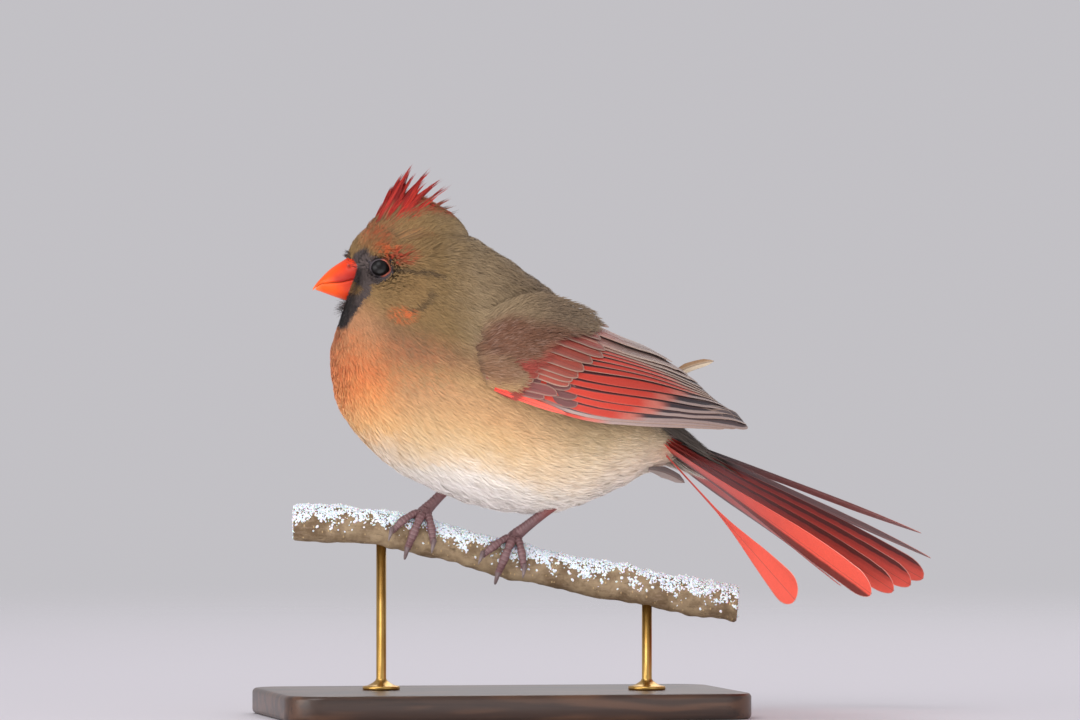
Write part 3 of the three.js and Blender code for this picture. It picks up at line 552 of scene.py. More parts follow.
def markings(points):
    """The share of each colour at places on the unturned bird."""
    x, z = points[..., 0], points[..., 2]
    washes = [
        strength * (1 - ease(x, *rear)) * ease(z, *low) * (1 - ease(z, *high))
        for strength, rear, low, high in WASHES
    ]
    return {
        "olive": ease(z - keyed(BACK_EDGE, x), -6, 6),
        "tan": keyed(TAN, x),
        "gold": 1 - ease(x, -47, -33),
        "rear": ease(x, -12, 24),
        "under": ((z - keyed(GOLD_LINE, x) - UNDER_LOW) / (UNDER_HIGH - UNDER_LOW)).clip(0, 1),
        "red": most(*washes, *drawn(points, "red")),
        "rust": most(*drawn(points, "rust")),
        "brick": np.zeros(points.shape[:-1]),
        "mask": most(*drawn(points, "mask")),
        "line": most(*drawn(points, "line")),
        "crimson": most(ease(z - keyed(CRIMSON_EDGE, x), -1, 3), *drawn(points, "crimson")),
        "grey": ease(x, 36, 50) * ease(z - keyed(GREY_EDGE, x), 0, 6),
    }


NO_MARKS = dict.fromkeys(markings(np.zeros((1, 3))), 0.0)
print("colours placed:", ", ".join(NO_MARKS))

# %% [markdown]
# The plumage material mixes those shares. Each barb is darker at its root, where its neighbours shade it,
# and every tuft is a little lighter or darker than the next, which gives the fine streaks of real plumage.

# %% Plumage material
# The underside from its lowest feathers up, at the front of the bird, beside it and at its rear
UNDER_FRONT = [
    (0.0, "faf3ee"), (0.12, "f9f0e8"), (0.26, "f5dec2"), (0.38, "f6c88c"), (0.5, "f3b677"), (0.61, "eda05f"),
    (0.72, "e69158"), (0.84, "dc9763"), (1.0, "cb956a"),
]
UNDER_MIDDLE = [
    (0.0, "faf3ee"), (0.1, "f8efe4"), (0.18, "f1dcc0"), (0.26, "e6caa2"), (0.38, "dfba89"), (0.5, "d6aa7a"),
    (0.6, "cfa476"), (0.72, "bc9567"), (0.82, "a57c59"), (1.0, "8f6c4e"),
]
UNDER_REAR = [
    (0.0, "faf4ee"), (0.12, "f9f1e7"), (0.25, "f4e4cf"), (0.38, "ead5b6"), (0.5, "d0b791"), (0.6, "c0a57e"),
    (0.72, "ac8f68"), (0.86, "957858"), (1.0, "866c52"),
]
UPPER = [(0.0, "8f785e"), (0.5, "a68e6c"), (0.8, "94784f"), (1.0, "9c7b4e")]
ORANGE_RED, CRIMSON, BRICK = paint("e0703a"), paint("b8301f"), paint("a0463a")
CHARCOAL, SOOT = paint("5c4f4c"), paint("2f2828")
LINE_BROWN, ASH = paint("4b3a2a"), paint("8a7d73")
RUST, GLEAM = paint("80563f"), paint("94796a")
ROOT_SHADE = 0.52  # how bright a barb is at its root


def ramp_stops(stops):
    return [(place, paint(code)) for place, code in stops]


def plumage():
    made = Finish("plumage", Roughness=0.85, Sheen_Weight=0.12, Sheen_Roughness=0.5)
    place, (chance, along) = made.place(), made.values("chance", "along")
    mottle = made.noise(place, 210.0, 4.0, 0.6) - 0.5
    streaks = made.step(made.noise(place, 620.0, 2.0) + 0.5 * chance, 0.6, 0.84)
    under = made.value("under") + mottle * 0.12
    front, middle, rear = (
        made.ramp(under, *ramp_stops(stops)) for stops in (UNDER_FRONT, UNDER_MIDDLE, UNDER_REAR)
    )
    colour = made.mix(made.value("gold"), made.mix(made.value("rear"), middle, rear), front)
    upper = made.ramp(made.value("tan") + mottle * 0.3, *ramp_stops(UPPER))
    olive, mask = made.values("olive", "mask")
    sooty = made.mix(made.step(mask - olive * 0.5 + mottle, 0.55, 1.2), CHARCOAL, SOOT)
    colour = made.layers(
        colour,
        (olive, upper),
        (made.value("grey"), ASH),
        (made.value("rust"), made.mix(made.step(chance, 0.55, 1.0) * 0.7, RUST, GLEAM)),
        (made.value("brick"), BRICK),
        (made.value("red") * streaks, ORANGE_RED),
        (made.value("crimson") * made.step(chance, 0.3, 0.7), CRIMSON),
        (made.step(mask + mottle * 0.7, 0.3, 0.7), sooty),
        (made.value("line") * 0.8, LINE_BROWN),
    )
    pale = (1.0 - made.step(under, 0.1, 0.6)) * (1.0 - olive)
    depth = ROOT_SHADE + (1.0 - ROOT_SHADE) * made.step(along, 0.0, 0.8)
    shade = depth + (1.0 - depth) * pale * 0.65
    shade = shade * (1.0 + (chance - 0.5) * (0.36 - 0.24 * pale))
    colour = made.mix(1.0, colour, made.grey(shade), "MULTIPLY")
    return made.set(Base_Color=colour)


feathers_finish = plumage()

# %% [markdown]
# Under the feathers lies one skin for head, neck and body. It is the solids' own surface, set in by the
# depth of the coat, which is thin on the face and deep on the belly. Only glimpses of it show, and it is
# painted in the plumage's colours at their darkest, as painted shade deep in the coat.

# %% Skin
SKIN_RINGS, SKIN_AROUND = 150, 110
FACE_SIDE = 5  # mm from the middle of the head, beyond which lie the sides of the face
COAT_DEPTH = [(0, 0.5), (1, 0.8), (2.5, 1.2), (4, 1.7), (6, 2.2), (9, 2.6), (12, 2.2), (13, 1.8)]


def lie(surface, u, v, depth):
    point, _, normal = surface_frame(surface, u, v)
    return point - normal * np.asarray(depth)[..., None]


def sheet(parts, points, uv, marks):
    """A closed tube of rings as one sheet, with both its ends drawn together to a point."""
    size, ends = points.shape[:2], [0, -1]
    everything = np.concatenate([points.reshape(-1, 3), points[ends].mean(axis=1)])
    shares = {k: np.append(v.reshape(-1), v[ends].mean(axis=1)) for k, v in marks.items()}
    flat = np.concatenate([uv.reshape(-1, 2), uv[ends].mean(axis=1)])
    # along 0 paints the skin with the plumage's darkest root shade: painted shade deep in the coat
    parts.add(everything, grid_faces(*size), end_faces(*size), flat, along=0.0, chance=0.5, **shares)


def eye_dent(plain):
    """How much deeper the skin lies round the eyes."""
    from_eye = np.hypot(plain[..., 0] - EYE[0], plain[..., 2] - EYE[2])
    return 2.2 * (1 - ease(from_eye, 3.2, 4.4)) * (np.abs(plain[..., 1]) > FACE_SIDE)


def skin_grid(surface, last, rings, around, depth, plain):
    u, v = np.meshgrid(np.linspace(0, last, rings), np.arange(around) * 2 * np.pi / around, indexing="ij")
    place = plain(u, v)
    points = lie(surface, u, v, depth(u) + eye_dent(place))
    uv = columns(u / last, v / (2 * np.pi))
    return points, 0.01 + 0.98 * uv, markings(place)


skin = Parts()
sheet(
    skin,
    *skin_grid(
        body_at, BODY_LAST, SKIN_RINGS, SKIN_AROUND,
        lambda u: keyed(COAT_DEPTH, u), lambda u, v: body_at(u, v, turned=False),
    ),
)
skin.piece("skin", feathers_finish, "plumage", stands_for=("head", "neck", "torso"))

# %% [markdown]
# The coat is made of tufts. A tuft stands for the soft, loose end of one body feather: a handful of narrow
# barbs that spring from one root, rise through the coat, lie down along it and end in a point. Growing
# thousands of them as particles would be quick, but hair doesn't survive export, so they are plain meshes,
# all worked out at once as arrays.

# %% Tufts
TUFT_STOPS = np.array([0.0, 0.38, 0.75, 1.0])  # where along a barb its points lie
TUFT_WIDTHS = np.array([0.75, 1.0, 0.6])
TUFT_SUNK = 0.5
PATCH = 0.003  # how much of the UV square a tuft takes
RISE = 1.7  # how early a barb rises
SOFT = 0.6  # how far a barb takes its shading from the body's form, and not from its own
BARB_QUADS, BARB_TRIS = np.array([[0, 2, 3, 1], [2, 4, 5, 3]]), np.array([[4, 6, 5]])  # of its seven points


def tufts(parts, roots, uv, marks, rng, *, barbs=6, length, height, spread, width, yaw=0.0, round_off=28.0):
    """Adds a tuft at each root. roots is point, way of lie and normal; the sizes are one per tuft."""
    point, lie_way, normal = roots
    count = len(point)
    size = (count, barbs)
    lie_way = unit(lie_way - normal * (lie_way * normal).sum(axis=-1, keepdims=True))
    side = np.cross(normal, lie_way)
    fan = np.linspace(-1, 1, barbs)[None, :] + rng.uniform(-0.25, 0.25, size)
    turn = np.broadcast_to(yaw, count)[:, None] + fan * np.broadcast_to(spread, count)[:, None]
    ahead = np.cos(turn)[..., None] * lie_way[:, None] + np.sin(turn)[..., None] * side[:, None]
    beside = np.cos(turn)[..., None] * side[:, None] - np.sin(turn)[..., None] * lie_way[:, None]
    up = normal[:, None]
    long = np.broadcast_to(length, count)[:, None] * (1 - 0.2 * fan**2) * rng.uniform(0.82, 1.12, size)
    high = np.broadcast_to(height, count)[:, None] * rng.uniform(0.75, 1.2, size)
    bend = rng.uniform(-0.08, 0.08, size) * long
    roll = rng.uniform(-0.6, 0.6, size)[..., None]
    blade = np.cos(roll) * beside + np.sin(roll) * up
    wide = np.broadcast_to(width, count)[:, None] * rng.uniform(0.7, 1.3, size) / 2
    t = TUFT_STOPS[None, None, :, None]
    reach = long[..., None, None] * t
    lift = (high + TUFT_SUNK)[..., None, None] * (1 - (1 - t) ** RISE) - TUFT_SUNK
    fall = reach**2 / (2 * np.broadcast_to(round_off, count)[:, None, None, None])
    line = (
        point[:, None, None]
        + ahead[:, :, None] * reach
        + beside[:, :, None] * bend[..., None, None] * t**2
        + up[:, :, None] * (lift - fall)
    )
    sides = blade[:, :, None] * wide[..., None, None] * TUFT_WIDTHS[None, None, :, None]
    barb = np.empty((count, barbs, 7, 3))
    barb[:, :, 0:6:2] = line[:, :, :3] - sides
    barb[:, :, 1:6:2] = line[:, :, :3] + sides
    barb[:, :, 6] = line[:, :, 3]
    starts = np.arange(count * barbs)[:, None, None] * 7
    along = np.tile(np.repeat(TUFT_STOPS, [2, 2, 2, 1]), count * barbs)
    patch = np.empty((count, barbs, 7, 2))
    patch[..., 0] = uv[:, None, None, 0] + PATCH * (np.arange(barbs)[None, :, None] + 0.5) / barbs
    patch[..., 1] = uv[:, None, None, 1] + PATCH * along.reshape(count, barbs, 7)
    chance = 0.8 * np.repeat(rng.uniform(0, 1, count), barbs * 7)
    chance = chance + 0.2 * np.repeat(rng.uniform(0, 1, size), 7)
    own = np.cos(roll) * up - np.sin(roll) * beside
    facing = unit(SOFT * up + (1 - SOFT) * own + 0.12 * rng.normal(0, 1, (*size, 3)))
    shares = {key: np.repeat(value, barbs * 7) for key, value in marks.items()}
    parts.add(
        barb.reshape(-1, 3), BARB_QUADS + starts, BARB_TRIS + starts, patch.reshape(-1, 2),
        np.repeat(facing.reshape(-1, 3), 7, axis=0), along=along, chance=chance, **shares,
    )


# %% [markdown]
# The roots stand in rows round the body, like scales, each row half a step on from the last. They are close
# on the face and wider apart on the belly. Roots that the wings would hide are left out, and so are those
# on the eye and on the bare skin beside the lower bill.

# %% Rows of roots over the body
rng = np.random.default_rng(7)
ROOT_GAP = [(0, 0.38), (1, 0.41), (3, 0.54), (5, 0.72), (8, 0.88), (13, 0.92)]
WING_COVER = 0.16  # how far inside the wing's outline its shadow starts
WING_SIDE = 6  # mm from the middle of the bird, beyond which a wing can hide a root
EYE_CLEAR = 3.35  # mm from the middle of the eye to the first feathers
BARE_STATION, BARE_HEIGHTS = 0.32, (131.5, 139.5)  # the bare skin beside the lower bill


def rows_of_roots(surface, last, gap_at, start=0.03):
    stations, angles, station, row = [], [], start, 0
    ring = np.linspace(0, 2 * np.pi, 73)
    while station < last - 0.02:
        gap = keyed(gap_at, station)
        here = surface(station, ring)
        girth = np.linalg.norm(np.diff(here, axis=0), axis=1)
        count = max(6, int(girth.sum() / gap))
        spaced = np.linspace(0, girth.sum(), count, endpoint=False)
        spaced = np.interp(spaced, np.append(0, girth.cumsum()), ring)
        step = girth.sum() / count / max(girth.mean(), 1e-6) * (ring[1] - ring[0])
        angles.append(spaced + step * (0.5 * (row % 2) + rng.uniform(-0.4, 0.4, count)))
        length = np.linalg.norm(surface(station + 0.05, ring) - here, axis=1).mean() / 0.05
        stations.append(station + gap / length * rng.uniform(-0.4, 0.4, count))
        station += gap / length
        row += 1
    return np.concatenate(stations), np.concatenate(angles)


def inside(outline, x, z):
    """Whether places seen from the side lie inside an outline."""
    odd = np.zeros(len(x), bool)
    for (x0, z0), (x1, z1) in zip(outline, np.roll(outline, -1, axis=0)):
        with np.errstate(divide="ignore", invalid="ignore"):
            crosses = ((z0 > z) != (z1 > z)) & (x < (x1 - x0) * (z - z0) / (z1 - z0) + x0)
        odd ^= crosses
    return odd


edge = np.linspace(WING_COVER, 1, 24)
wing_outline = np.concatenate(
    [wing_at(RIGHT, edge, 0.12)[:, [0, 2]], wing_at(RIGHT, edge[::-1], 0.86)[:, [0, 2]]]
)
station, angle = rows_of_roots(body_at, BODY_LAST, ROOT_GAP)
plain = body_at(station, angle, turned=False)
from_eye = np.hypot(plain[:, 0] - EYE[0], plain[:, 2] - EYE[2])
beside_head = np.abs(plain[:, 1]) > FACE_SIDE
left_out = inside(wing_outline, plain[:, 0], plain[:, 2]) & (np.abs(plain[:, 1]) > WING_SIDE)
left_out |= (station < BARE_STATION) & (plain[:, 2] > BARE_HEIGHTS[0]) & (plain[:, 2] < BARE_HEIGHTS[1])
left_out |= beside_head & (from_eye < EYE_CLEAR)
station, angle, plain, from_eye, beside_head = (
    each[~left_out] for each in (station, angle, plain, from_eye, beside_head)
)
print(len(station), "roots,", left_out.sum(), "left out")

# %% [markdown]
# Feathers flow back from the bill, and part round the eye as water does round a stone. They are short and
# close on the face, longer on the body, and longest and loosest on the belly, where a cold bird fluffs
# them out.

# %% Coat of the body
LENGTHS = [(0, 1.4), (1, 2.2), (2.5, 3.6), (4, 4.8), (6, 6.6), (9, 7.8), (11.5, 8.0), (12.5, 6.0), (13, 5.0)]
BELLY_LONGER = 0.35
CLUMP = 7.0  # mm from one clump of feathers to the next
# Place along the head, and how steeply the crown's feathers rise there towards the crest
CROWN_RISE = [(-48, 68), (-40, 56), (-32, 42), (-22, 24), (-15, -4), (-9, -35), (0, -25)]
# The forehead, an oval whose feathers stand up towards the crest, looser and longer by these shares
FOREHEAD, FOREHEAD_LOOSER, FOREHEAD_LONGER = (-43.5, 152.5, 5.0, 5.0, 1.0), 1.3, 0.6
WIDTHS = [(0, 0.17), (2, 0.2), (5, 0.25), (9, 0.3)]
ROUND_OFF = [(0, 12), (4, 20), (8, 34), (13, 34)]
ANY_SIDE = (-2, 2)
# Pieces of the coat: name, slot, stations, and cosines of the angle from the back; each takes what is left
REGIONS = [
    ("coat_face", "plumage", (-1, 2.0), ANY_SIDE),
    ("coat_head", "plumage", (2.0, 3.6), ANY_SIDE),
    ("coat_nape", "plumage", (3.6, 5.4), (0.1, 2)),
    ("coat_throat", "breast", (3.6, 5.4), (-2, 0.1)),
    ("coat_breast", "breast", (5.4, 7.0), (-2, 0.1)),
    ("coat_belly", "breast", (7.0, 8.6), (-2, -0.3)),
    ("coat_lower_belly", "breast", (8.6, 10.4), (-2, -0.2)),
    ("coat_vent", "breast", (10.4, 14), (-2, 0.1)),
    ("coat_flank", "breast", (7.0, 10.4), (-2, 0.35)),
    ("coat_mantle", "plumage", (-1, 7.6), ANY_SIDE),
    ("coat_rump", "plumage", (7.6, 14), ANY_SIDE),
]


def crown_way(x):
    """The way that the crown's feathers point at places along the head."""
    rise = np.radians(keyed(CROWN_RISE, x))
    return turn_way(columns(np.cos(rise), 0, np.sin(rise)))


point, along, normal = surface_frame(body_at, station, angle)
depth = keyed(COAT_DEPTH, station)
low = ease(-np.cos(angle), 0.1, 0.9)
length = keyed(LENGTHS, station) * (1 + BELLY_LONGER * low * ease(station, 3, 7))
near_eye = beside_head & (from_eye < 9)
length = np.where(near_eye, np.minimum(length, 1.1 + 0.6 * (from_eye - EYE_RADIUS).clip(0)), length)
side_of_eye = np.sign(plain[:, 1])
eye_place = turn_head(columns(EYE[0], side_of_eye * EYE[1], EYE[2]))
away = point - eye_place
away -= normal * (away * normal).sum(axis=1, keepdims=True)
spread_out = unit(away)
parting = (EYE_RADIUS + 0.6) ** 2 / (away**2).sum(axis=1).clip(9)
parting = np.where(beside_head, parting, 0.0)[:, None]
upward = crown_way(plain[:, 0])
upward = unit(upward - normal * (upward * normal).sum(axis=1, keepdims=True))
on_crown = (ease(plain[:, 2], 144, 151) * (1 - ease(plain[:, 0], -16, -4)))[:, None]
flow = unit(blend(along, upward, on_crown))
flow = flow + parting * (flow - 2 * (flow * spread_out).sum(axis=1, keepdims=True) * spread_out)
wave = np.sin(plain[:, 0] / CLUMP * 5 + np.sin(plain[:, 2] / CLUMP * 3) * 1.6)
wave *= np.sin(plain[:, 2] / CLUMP * 4.2)
yaw = rng.normal(0, 0.08, len(point)) + 0.07 * wave * ease(station, 2, 6)
loose = 1 + 0.12 * wave + 0.15 * low * ease(station, 6, 10)
forehead = spot(plain, *FOREHEAD)
loose, length = loose + FOREHEAD_LOOSER * forehead, length * (1 + FOREHEAD_LONGER * forehead)

rest, cosine = np.ones(len(station), bool), np.cos(angle)
for name, slot, (first, last), (least, below) in REGIONS:
    here = rest & (station >= first) & (station < last) & (cosine >= least) & (cosine < below)
    rest &= ~here
    coat = Parts()
    tufts(
        coat,
        (lie(body_at, station[here], angle[here], depth[here]), flow[here], normal[here]),
        0.005 + 0.98 * columns(station[here] / BODY_LAST, (angle[here] / (2 * np.pi)) % 1),
        markings(plain[here]),
        rng,
        barbs=7,
        length=length[here],
        height=(depth * loose)[here],
        spread=np.where(station < 2, 0.16, 0.2)[here],
        width=keyed(WIDTHS, station)[here],
        yaw=yaw[here],
        round_off=keyed(ROUND_OFF, station)[here],
    )
    coat.piece(name, feathers_finish, slot)

# %% [markdown]
# Wing and tail feathers are vanes: a shaft with a web of barbs on each side. One function makes them all. It
# takes the line of the shaft, the way the feather faces and the width of both webs, and gives a thin closed
# blade, slightly cambered, with the shaft as a ridge. The webs end in a rounded tip and part here and
# there, as barbs do that have come unhooked.

# %% One vane
WEB = np.array([-1.0, -0.93, -0.6, -0.2, -0.06, 0.0, 0.06, 0.2, 0.6, 0.93, 1.0])
VANE_ROWS = 26
VANE_THICK, VANE_RIM, VANE_RIDGE = 0.16, 0.05, 0.16


def tip_shape(along, starts):
    """Share of a web's width: full up to where the tip starts, then round to a point."""
    share = np.clip((along - starts) / (1 - starts), 0, 1)
    return np.maximum((1 - share**2) ** 0.5, 0.04)


def closer_to_tip(rows):
    """Shares of a feather's length for its rows, which stand closer together towards the tip."""
    return 1 - (1 - np.linspace(0, 1, rows)) ** 1.5


def vane(
    parts, path, face, outer, inner, rng, *, mirror=1, cell, camber=0.3, splits=2, by_row=(), **values
):
    """Adds a feather along a path. The outer web is on the far side from mirror times face cross path."""
    rows = len(path)
    along = np.append(0, np.linalg.norm(np.diff(path, axis=0), axis=1).cumsum())
    long = along[-1]
    share = along / long
    way = unit(np.gradient(path, axis=0))
    face = unit(face - way * (face * way).sum(axis=1, keepdims=True))
    across = np.cross(face, way) * mirror
    split = np.zeros((rows, 2))
    for _ in range(splits):
        at, web = rng.uniform(0.35, 0.95), rng.integers(0, 2)
        split[:, web] += rng.uniform(0.03, 0.09) * np.exp(-(((share - at) / 0.02) ** 2))
    width = np.stack([outer * (1 - split[:, 0]), inner * (1 - split[:, 1])], axis=1)
    wide = np.where(WEB < 0, width[:, :1], width[:, 1:])
    off = wide * WEB
    middle = (WEB == 0) * VANE_RIDGE * (1 - 0.8 * share[:, None])
    high = middle - camber * (off / max(outer.max(), inner.max())) ** 2
    thick = VANE_RIM + (VANE_THICK - VANE_RIM) * (1 - WEB**4) + middle
    upper = path[:, None] + across[:, None] * off[..., None] + face[:, None] * high[..., None]
    lower = upper - face[:, None] * thick[..., None]
    ring = np.concatenate([upper, lower[:, ::-1]], axis=1)
    around = ring.shape[1]
    cap = np.array([[k, k + 1, around - 2 - k, around - 1 - k] for k in range(len(WEB) - 1)])
    faces = np.concatenate([grid_faces(rows, around), cap, (rows - 1) * around + cap[:, ::-1]])
    if mirror > 0:
        faces = faces[:, ::-1]
    webs = np.concatenate([off, off[:, ::-1]], axis=1)
    rim = np.minimum((1 - np.abs(WEB)) * wide, (long - along)[:, None])
    rims = np.concatenate([rim, rim[:, ::-1]], axis=1)
    flat = np.broadcast_to(0.5 + 0.48 * np.append(WEB, WEB[::-1]), webs.shape)
    below = np.broadcast_to(np.repeat([0.0, 0.5], len(WEB)), webs.shape)
    u0, v0, du, dv = cell
    uv = columns(u0 + du * 0.96 * share[:, None], v0 + dv * 0.96 * (below + flat / 2))
    far = np.broadcast_to(along[:, None], webs.shape)
    rowed = {name: np.repeat(value, around) for name, value in dict(by_row).items()}
    parts.add(
        ring.reshape(-1, 3), faces, uv=uv.reshape(-1, 2), **values, **rowed,
        along=(far / long).ravel(), far=far.ravel(), web=webs.ravel(), rim=rims.ravel(),
    )


def cells(count, across):
    """Cells of a square, one for each of count feathers."""
    down = math.ceil(count / across)
    return [(k % across / across, k // across / down, 1 / across, 1 / down) for k in range(count)]


# %% [markdown]
# Flight feathers are bright red on the part of the outer web that shows, and dark from just outside the
# shaft inwards: partly the real dusky inner web, and partly painted shade under the upper neighbour's
# edge. Beyond a fading line their outer edges turn a pale, pinkish grey and the rest almost black, so that
# the folded tips are striped. The material reads how far each point is from the shaft, from the rim and
# from that line, and draws the fine slanting lines of the barbs over all.

# %% Vane materials
FLIGHT_RED, COVERT_RED, PLUM = paint("cb3a27"), paint("a04434"), paint("6d403e")
SALMON, PALE_EDGE, BEIGE = paint("c97060"), paint("a8918a"), paint("a98c7a")
SLATE, WORN, SHAFT = paint("34292e"), paint("86695e"), paint("5e3a34")
FADED = paint("55494a")
BARB_PITCH = 0.5  # mm between the lines of barbs


def barbed(made, colour, fringe=BEIGE, fringe_wide=0.45, fringe_strength=0.85):
    """Adds the fringe, the shaft and the barbs to a vane's colour, and sets them."""
    web, far, rim, chance = made.values("web", "far", "rim", "chance")
    ragged = made.noise(made.place(), 900.0, 2.0) * 0.5
    edge = 1.0 - made.step(rim - ragged * fringe_wide, fringe_wide * 0.25, fringe_wide)
    colour = made.mix(edge * fringe_strength, colour, fringe)
    colour = made.mix((1.0 - made.step(web.size(), 0.06, 0.14)) * 0.6, colour, SHAFT)
    lines = ((far - web.size() * 1.1) * (2 * math.pi / BARB_PITCH)).sine()
    fine = made.noise(made.place(), 1400.0, 2.0, 0.6)
    shade = (0.9 + 0.16 * chance) * (0.98 + 0.035 * lines) * (0.88 + 0.24 * fine)
    colour = made.mix(1.0, colour, made.grey(shade), "MULTIPLY")
    return made.set(Base_Color=colour, Normal=made.bump(lines * 0.5 + fine, 0.05, 0.5))


def flight_finish():
    made = Finish("flight_feathers", Roughness=0.55, Sheen_Weight=0.12, Sheen_Roughness=0.4)
    order, fade, web, rim = made.values("order", "fade", "web", "rim")
    uneven = made.noise(made.place(), 260.0, 2.0) - 0.5
    fade = fade + uneven * 0.03
    primary, tertial = made.step(order, 0.5, 0.58), 1.0 - made.step(order, 0.16, 0.24)
    colour = made.mix(made.step(fade, -0.07, 0.0), FLIGHT_RED, SALMON)
    pale = made.mix(primary, BEIGE, PALE_EDGE)
    dark = made.mix(made.step(fade, 0.2, 0.36), SLATE, FADED)
    striped = made.mix(made.step(rim + uneven * 0.3, 0.8, 1.2), pale, dark)
    colour = made.mix(made.step(fade, -0.01, 0.05), colour, striped)
    dusky = made.mix(made.step(rim, 1.0, 1.7), BEIGE, WORN)
    rosy = made.mix(0.55 * (1.0 - made.step(fade, -0.18, 0.05)), dusky, FLIGHT_RED)
    colour = made.mix(tertial, colour, rosy)
    # the inner web and shaft darken: the real dusky web, and painted shade under the upper neighbour's edge
    colour = made.mix(made.step(web, -0.3, 0.2) * (1.0 - tertial) * 0.9, colour, dark)
    strength = made.mix(primary, (0.75, 0.75, 0.75, 1.0), made.grey(0.2 + 0.6 * made.step(fade, 0.1, 0.3)))
    return barbed(made, colour, fringe_wide=0.3, fringe_strength=strength)


def covert_finish():
    made = Finish("covert_feathers", Roughness=0.6, Sheen_Weight=0.18, Sheen_Roughness=0.4)
    plum, greyer, rim = made.values("plum", "greyer", "rim")
    colour = made.mix(plum, COVERT_RED, PLUM)
    colour = made.mix((1.0 - made.step(rim, 0.4, 2.0)) * greyer * 0.8, colour, WORN)
    return barbed(made, colour, fringe_wide=0.5, fringe_strength=0.8 - 0.45 * plum)


flight_material, covert_material = flight_finish(), covert_finish()

# %% [markdown]
# A folded wing is laid like shingles. Each feather's outer web shows as a strip above its lower edge, and
# the rest of it is tucked under its upper neighbour. Three tertials lie on top, then the secondaries, whose
# tips come together on the wing's upper edge, and then the primaries, which reach past them all.

# %% Flight feathers
# The lower edge of each feather, from root to tip, as places (s, t) on the wing, and s where the red fades
FLIGHT_EDGES = [
    ([(0.26, 0.14), (0.45, 0.155), (0.55, 0.06), (0.615, 0.0)], 0.46),
    ([(0.26, 0.22), (0.46, 0.275), (0.6, 0.13), (0.67, 0.02)], 0.42),
    ([(0.26, 0.28), (0.49, 0.3), (0.6, 0.21), (0.72, 0.05)], 0.42),
    ([(0.26, 0.33), (0.5, 0.33), (0.62, 0.25), (0.745, 0.12)], 0.5),
    ([(0.26, 0.37), (0.5, 0.365), (0.62, 0.29), (0.77, 0.17)], 0.55),
    ([(0.26, 0.43), (0.5, 0.41), (0.64, 0.33), (0.785, 0.19)], 0.6),
    ([(0.26, 0.49), (0.5, 0.46), (0.65, 0.38), (0.795, 0.205)], 0.64),
    ([(0.25, 0.56), (0.5, 0.515), (0.67, 0.41), (0.82, 0.21)], 0.68),
    ([(0.24, 0.63), (0.49, 0.635), (0.7, 0.46), (0.94, 0.02)], 0.63),
    ([(0.22, 0.70), (0.51, 0.705), (0.75, 0.565), (0.96, -0.05)], 0.58),
    ([(0.2, 0.765), (0.49, 0.805), (0.73, 0.71), (0.985, 0.1)], 0.55),
    ([(0.18, 0.82), (0.46, 0.87), (0.72, 0.81), (1.0, 0.5)], 0.52),
    ([(0.16, 0.89), (0.45, 0.94), (0.7, 0.9), (0.995, 0.92)], 0.47),
    ([(0.15, 0.955), (0.42, 0.965), (0.7, 0.95), (0.93, 0.95)], 0.2),
    ([(0.14, 0.995), (0.4, 0.99), (0.66, 0.985), (0.86, 0.985)], 0.36),
]
INNER_WEB = [(0, 5.0), (3, 6.0), (14, 5.0)]
SHOWN = [(0, 4.2), (2, 3.2), (14, 4.2)]  # the widest outer web
TOP_WEB = 2.2  # the outer web of a feather whose upper neighbour has ended
FIRST_PRIMARY = 8
TUCK_SLOPE = 0.17  # how steeply a feather slants in under its neighbour
T_STEP = 0.04  # the step in t over which the mm of one unit of t are measured


def wing_feather(
    parts, side, s, t_low, outer, inner, lift, rng, tip_starts, cell, slope=TUCK_SLOPE, **values
):
    """A feather whose lower edge runs through s and t on a wing."""
    edge = wing_at(side, s, t_low)
    above = wing_at(side, s, t_low - T_STEP)
    mm_per_t = np.linalg.norm(above - edge, axis=1) / T_STEP
    far = (s - s[0]) / (s[-1] - s[0])
    outer = outer * keyed([(0, 0.7), (0.3, 1), (1, 0.9)], far)
    point, _, normal = wing_frame(side, s, t_low - outer / mm_per_t)
    path = point + normal * (lift - slope * outer)[:, None]
    upwards = np.cross(normal, unit(np.gradient(path, axis=0))) * -side
    face = normal * math.cos(slope) + upwards * math.sin(slope)
    shape = tip_shape(far, tip_starts)
    root = keyed([(0, 0.4), (0.2, 1), (1, 1)], far)
    vane(
        parts, path, face, outer * shape, inner * shape * root, rng,
        mirror=-side, cell=cell, camber=0.25, **values,
    )


def flight_feathers(side, rng):
    parts = Parts()
    lines = [through(np.array(edge), closer_to_tip(VANE_ROWS)) for edge, _ in FLIGHT_EDGES]
    last = len(FLIGHT_EDGES) - 1
    for k, (line, (_, fades), cell) in enumerate(zip(lines, FLIGHT_EDGES, cells(last + 1, 3))):
        s, t = line.T
        pitch = np.full(VANE_ROWS, keyed(SHOWN, k))
        if k:
            t_above = np.interp(s, *lines[k - 1].T)
            apart = np.linalg.norm(wing_at(side, s, t) - wing_at(side, s, t_above), axis=1)
            pitch = np.where(t > t_above, apart, TOP_WEB)
        outer = np.clip(pitch * 0.9, blend(1.2, 2.0, ease(s, 0.75, 0.95)), keyed(SHOWN, k))
        wing_feather(
            parts, side, s, t + rng.uniform(-0.003, 0.003), outer, keyed(INNER_WEB, k),
            np.full(VANE_ROWS, 0.15), rng, 0.93 if k >= FIRST_PRIMARY else 0.86, cell,
            by_row={"fade": s - fades}, order=k / last, chance=rng.uniform(0, 1),
        )
    return parts


# %% [markdown]
# The coverts are made the same way, in rows of shorter, rounder feathers whose tips step down the wing. The
# greater coverts are brick red with beige edges, greyer towards the back. Those over the primaries are plum,
# like the small feather of the thumb, which has a red lower edge. A scarlet feather lines the wing's front.

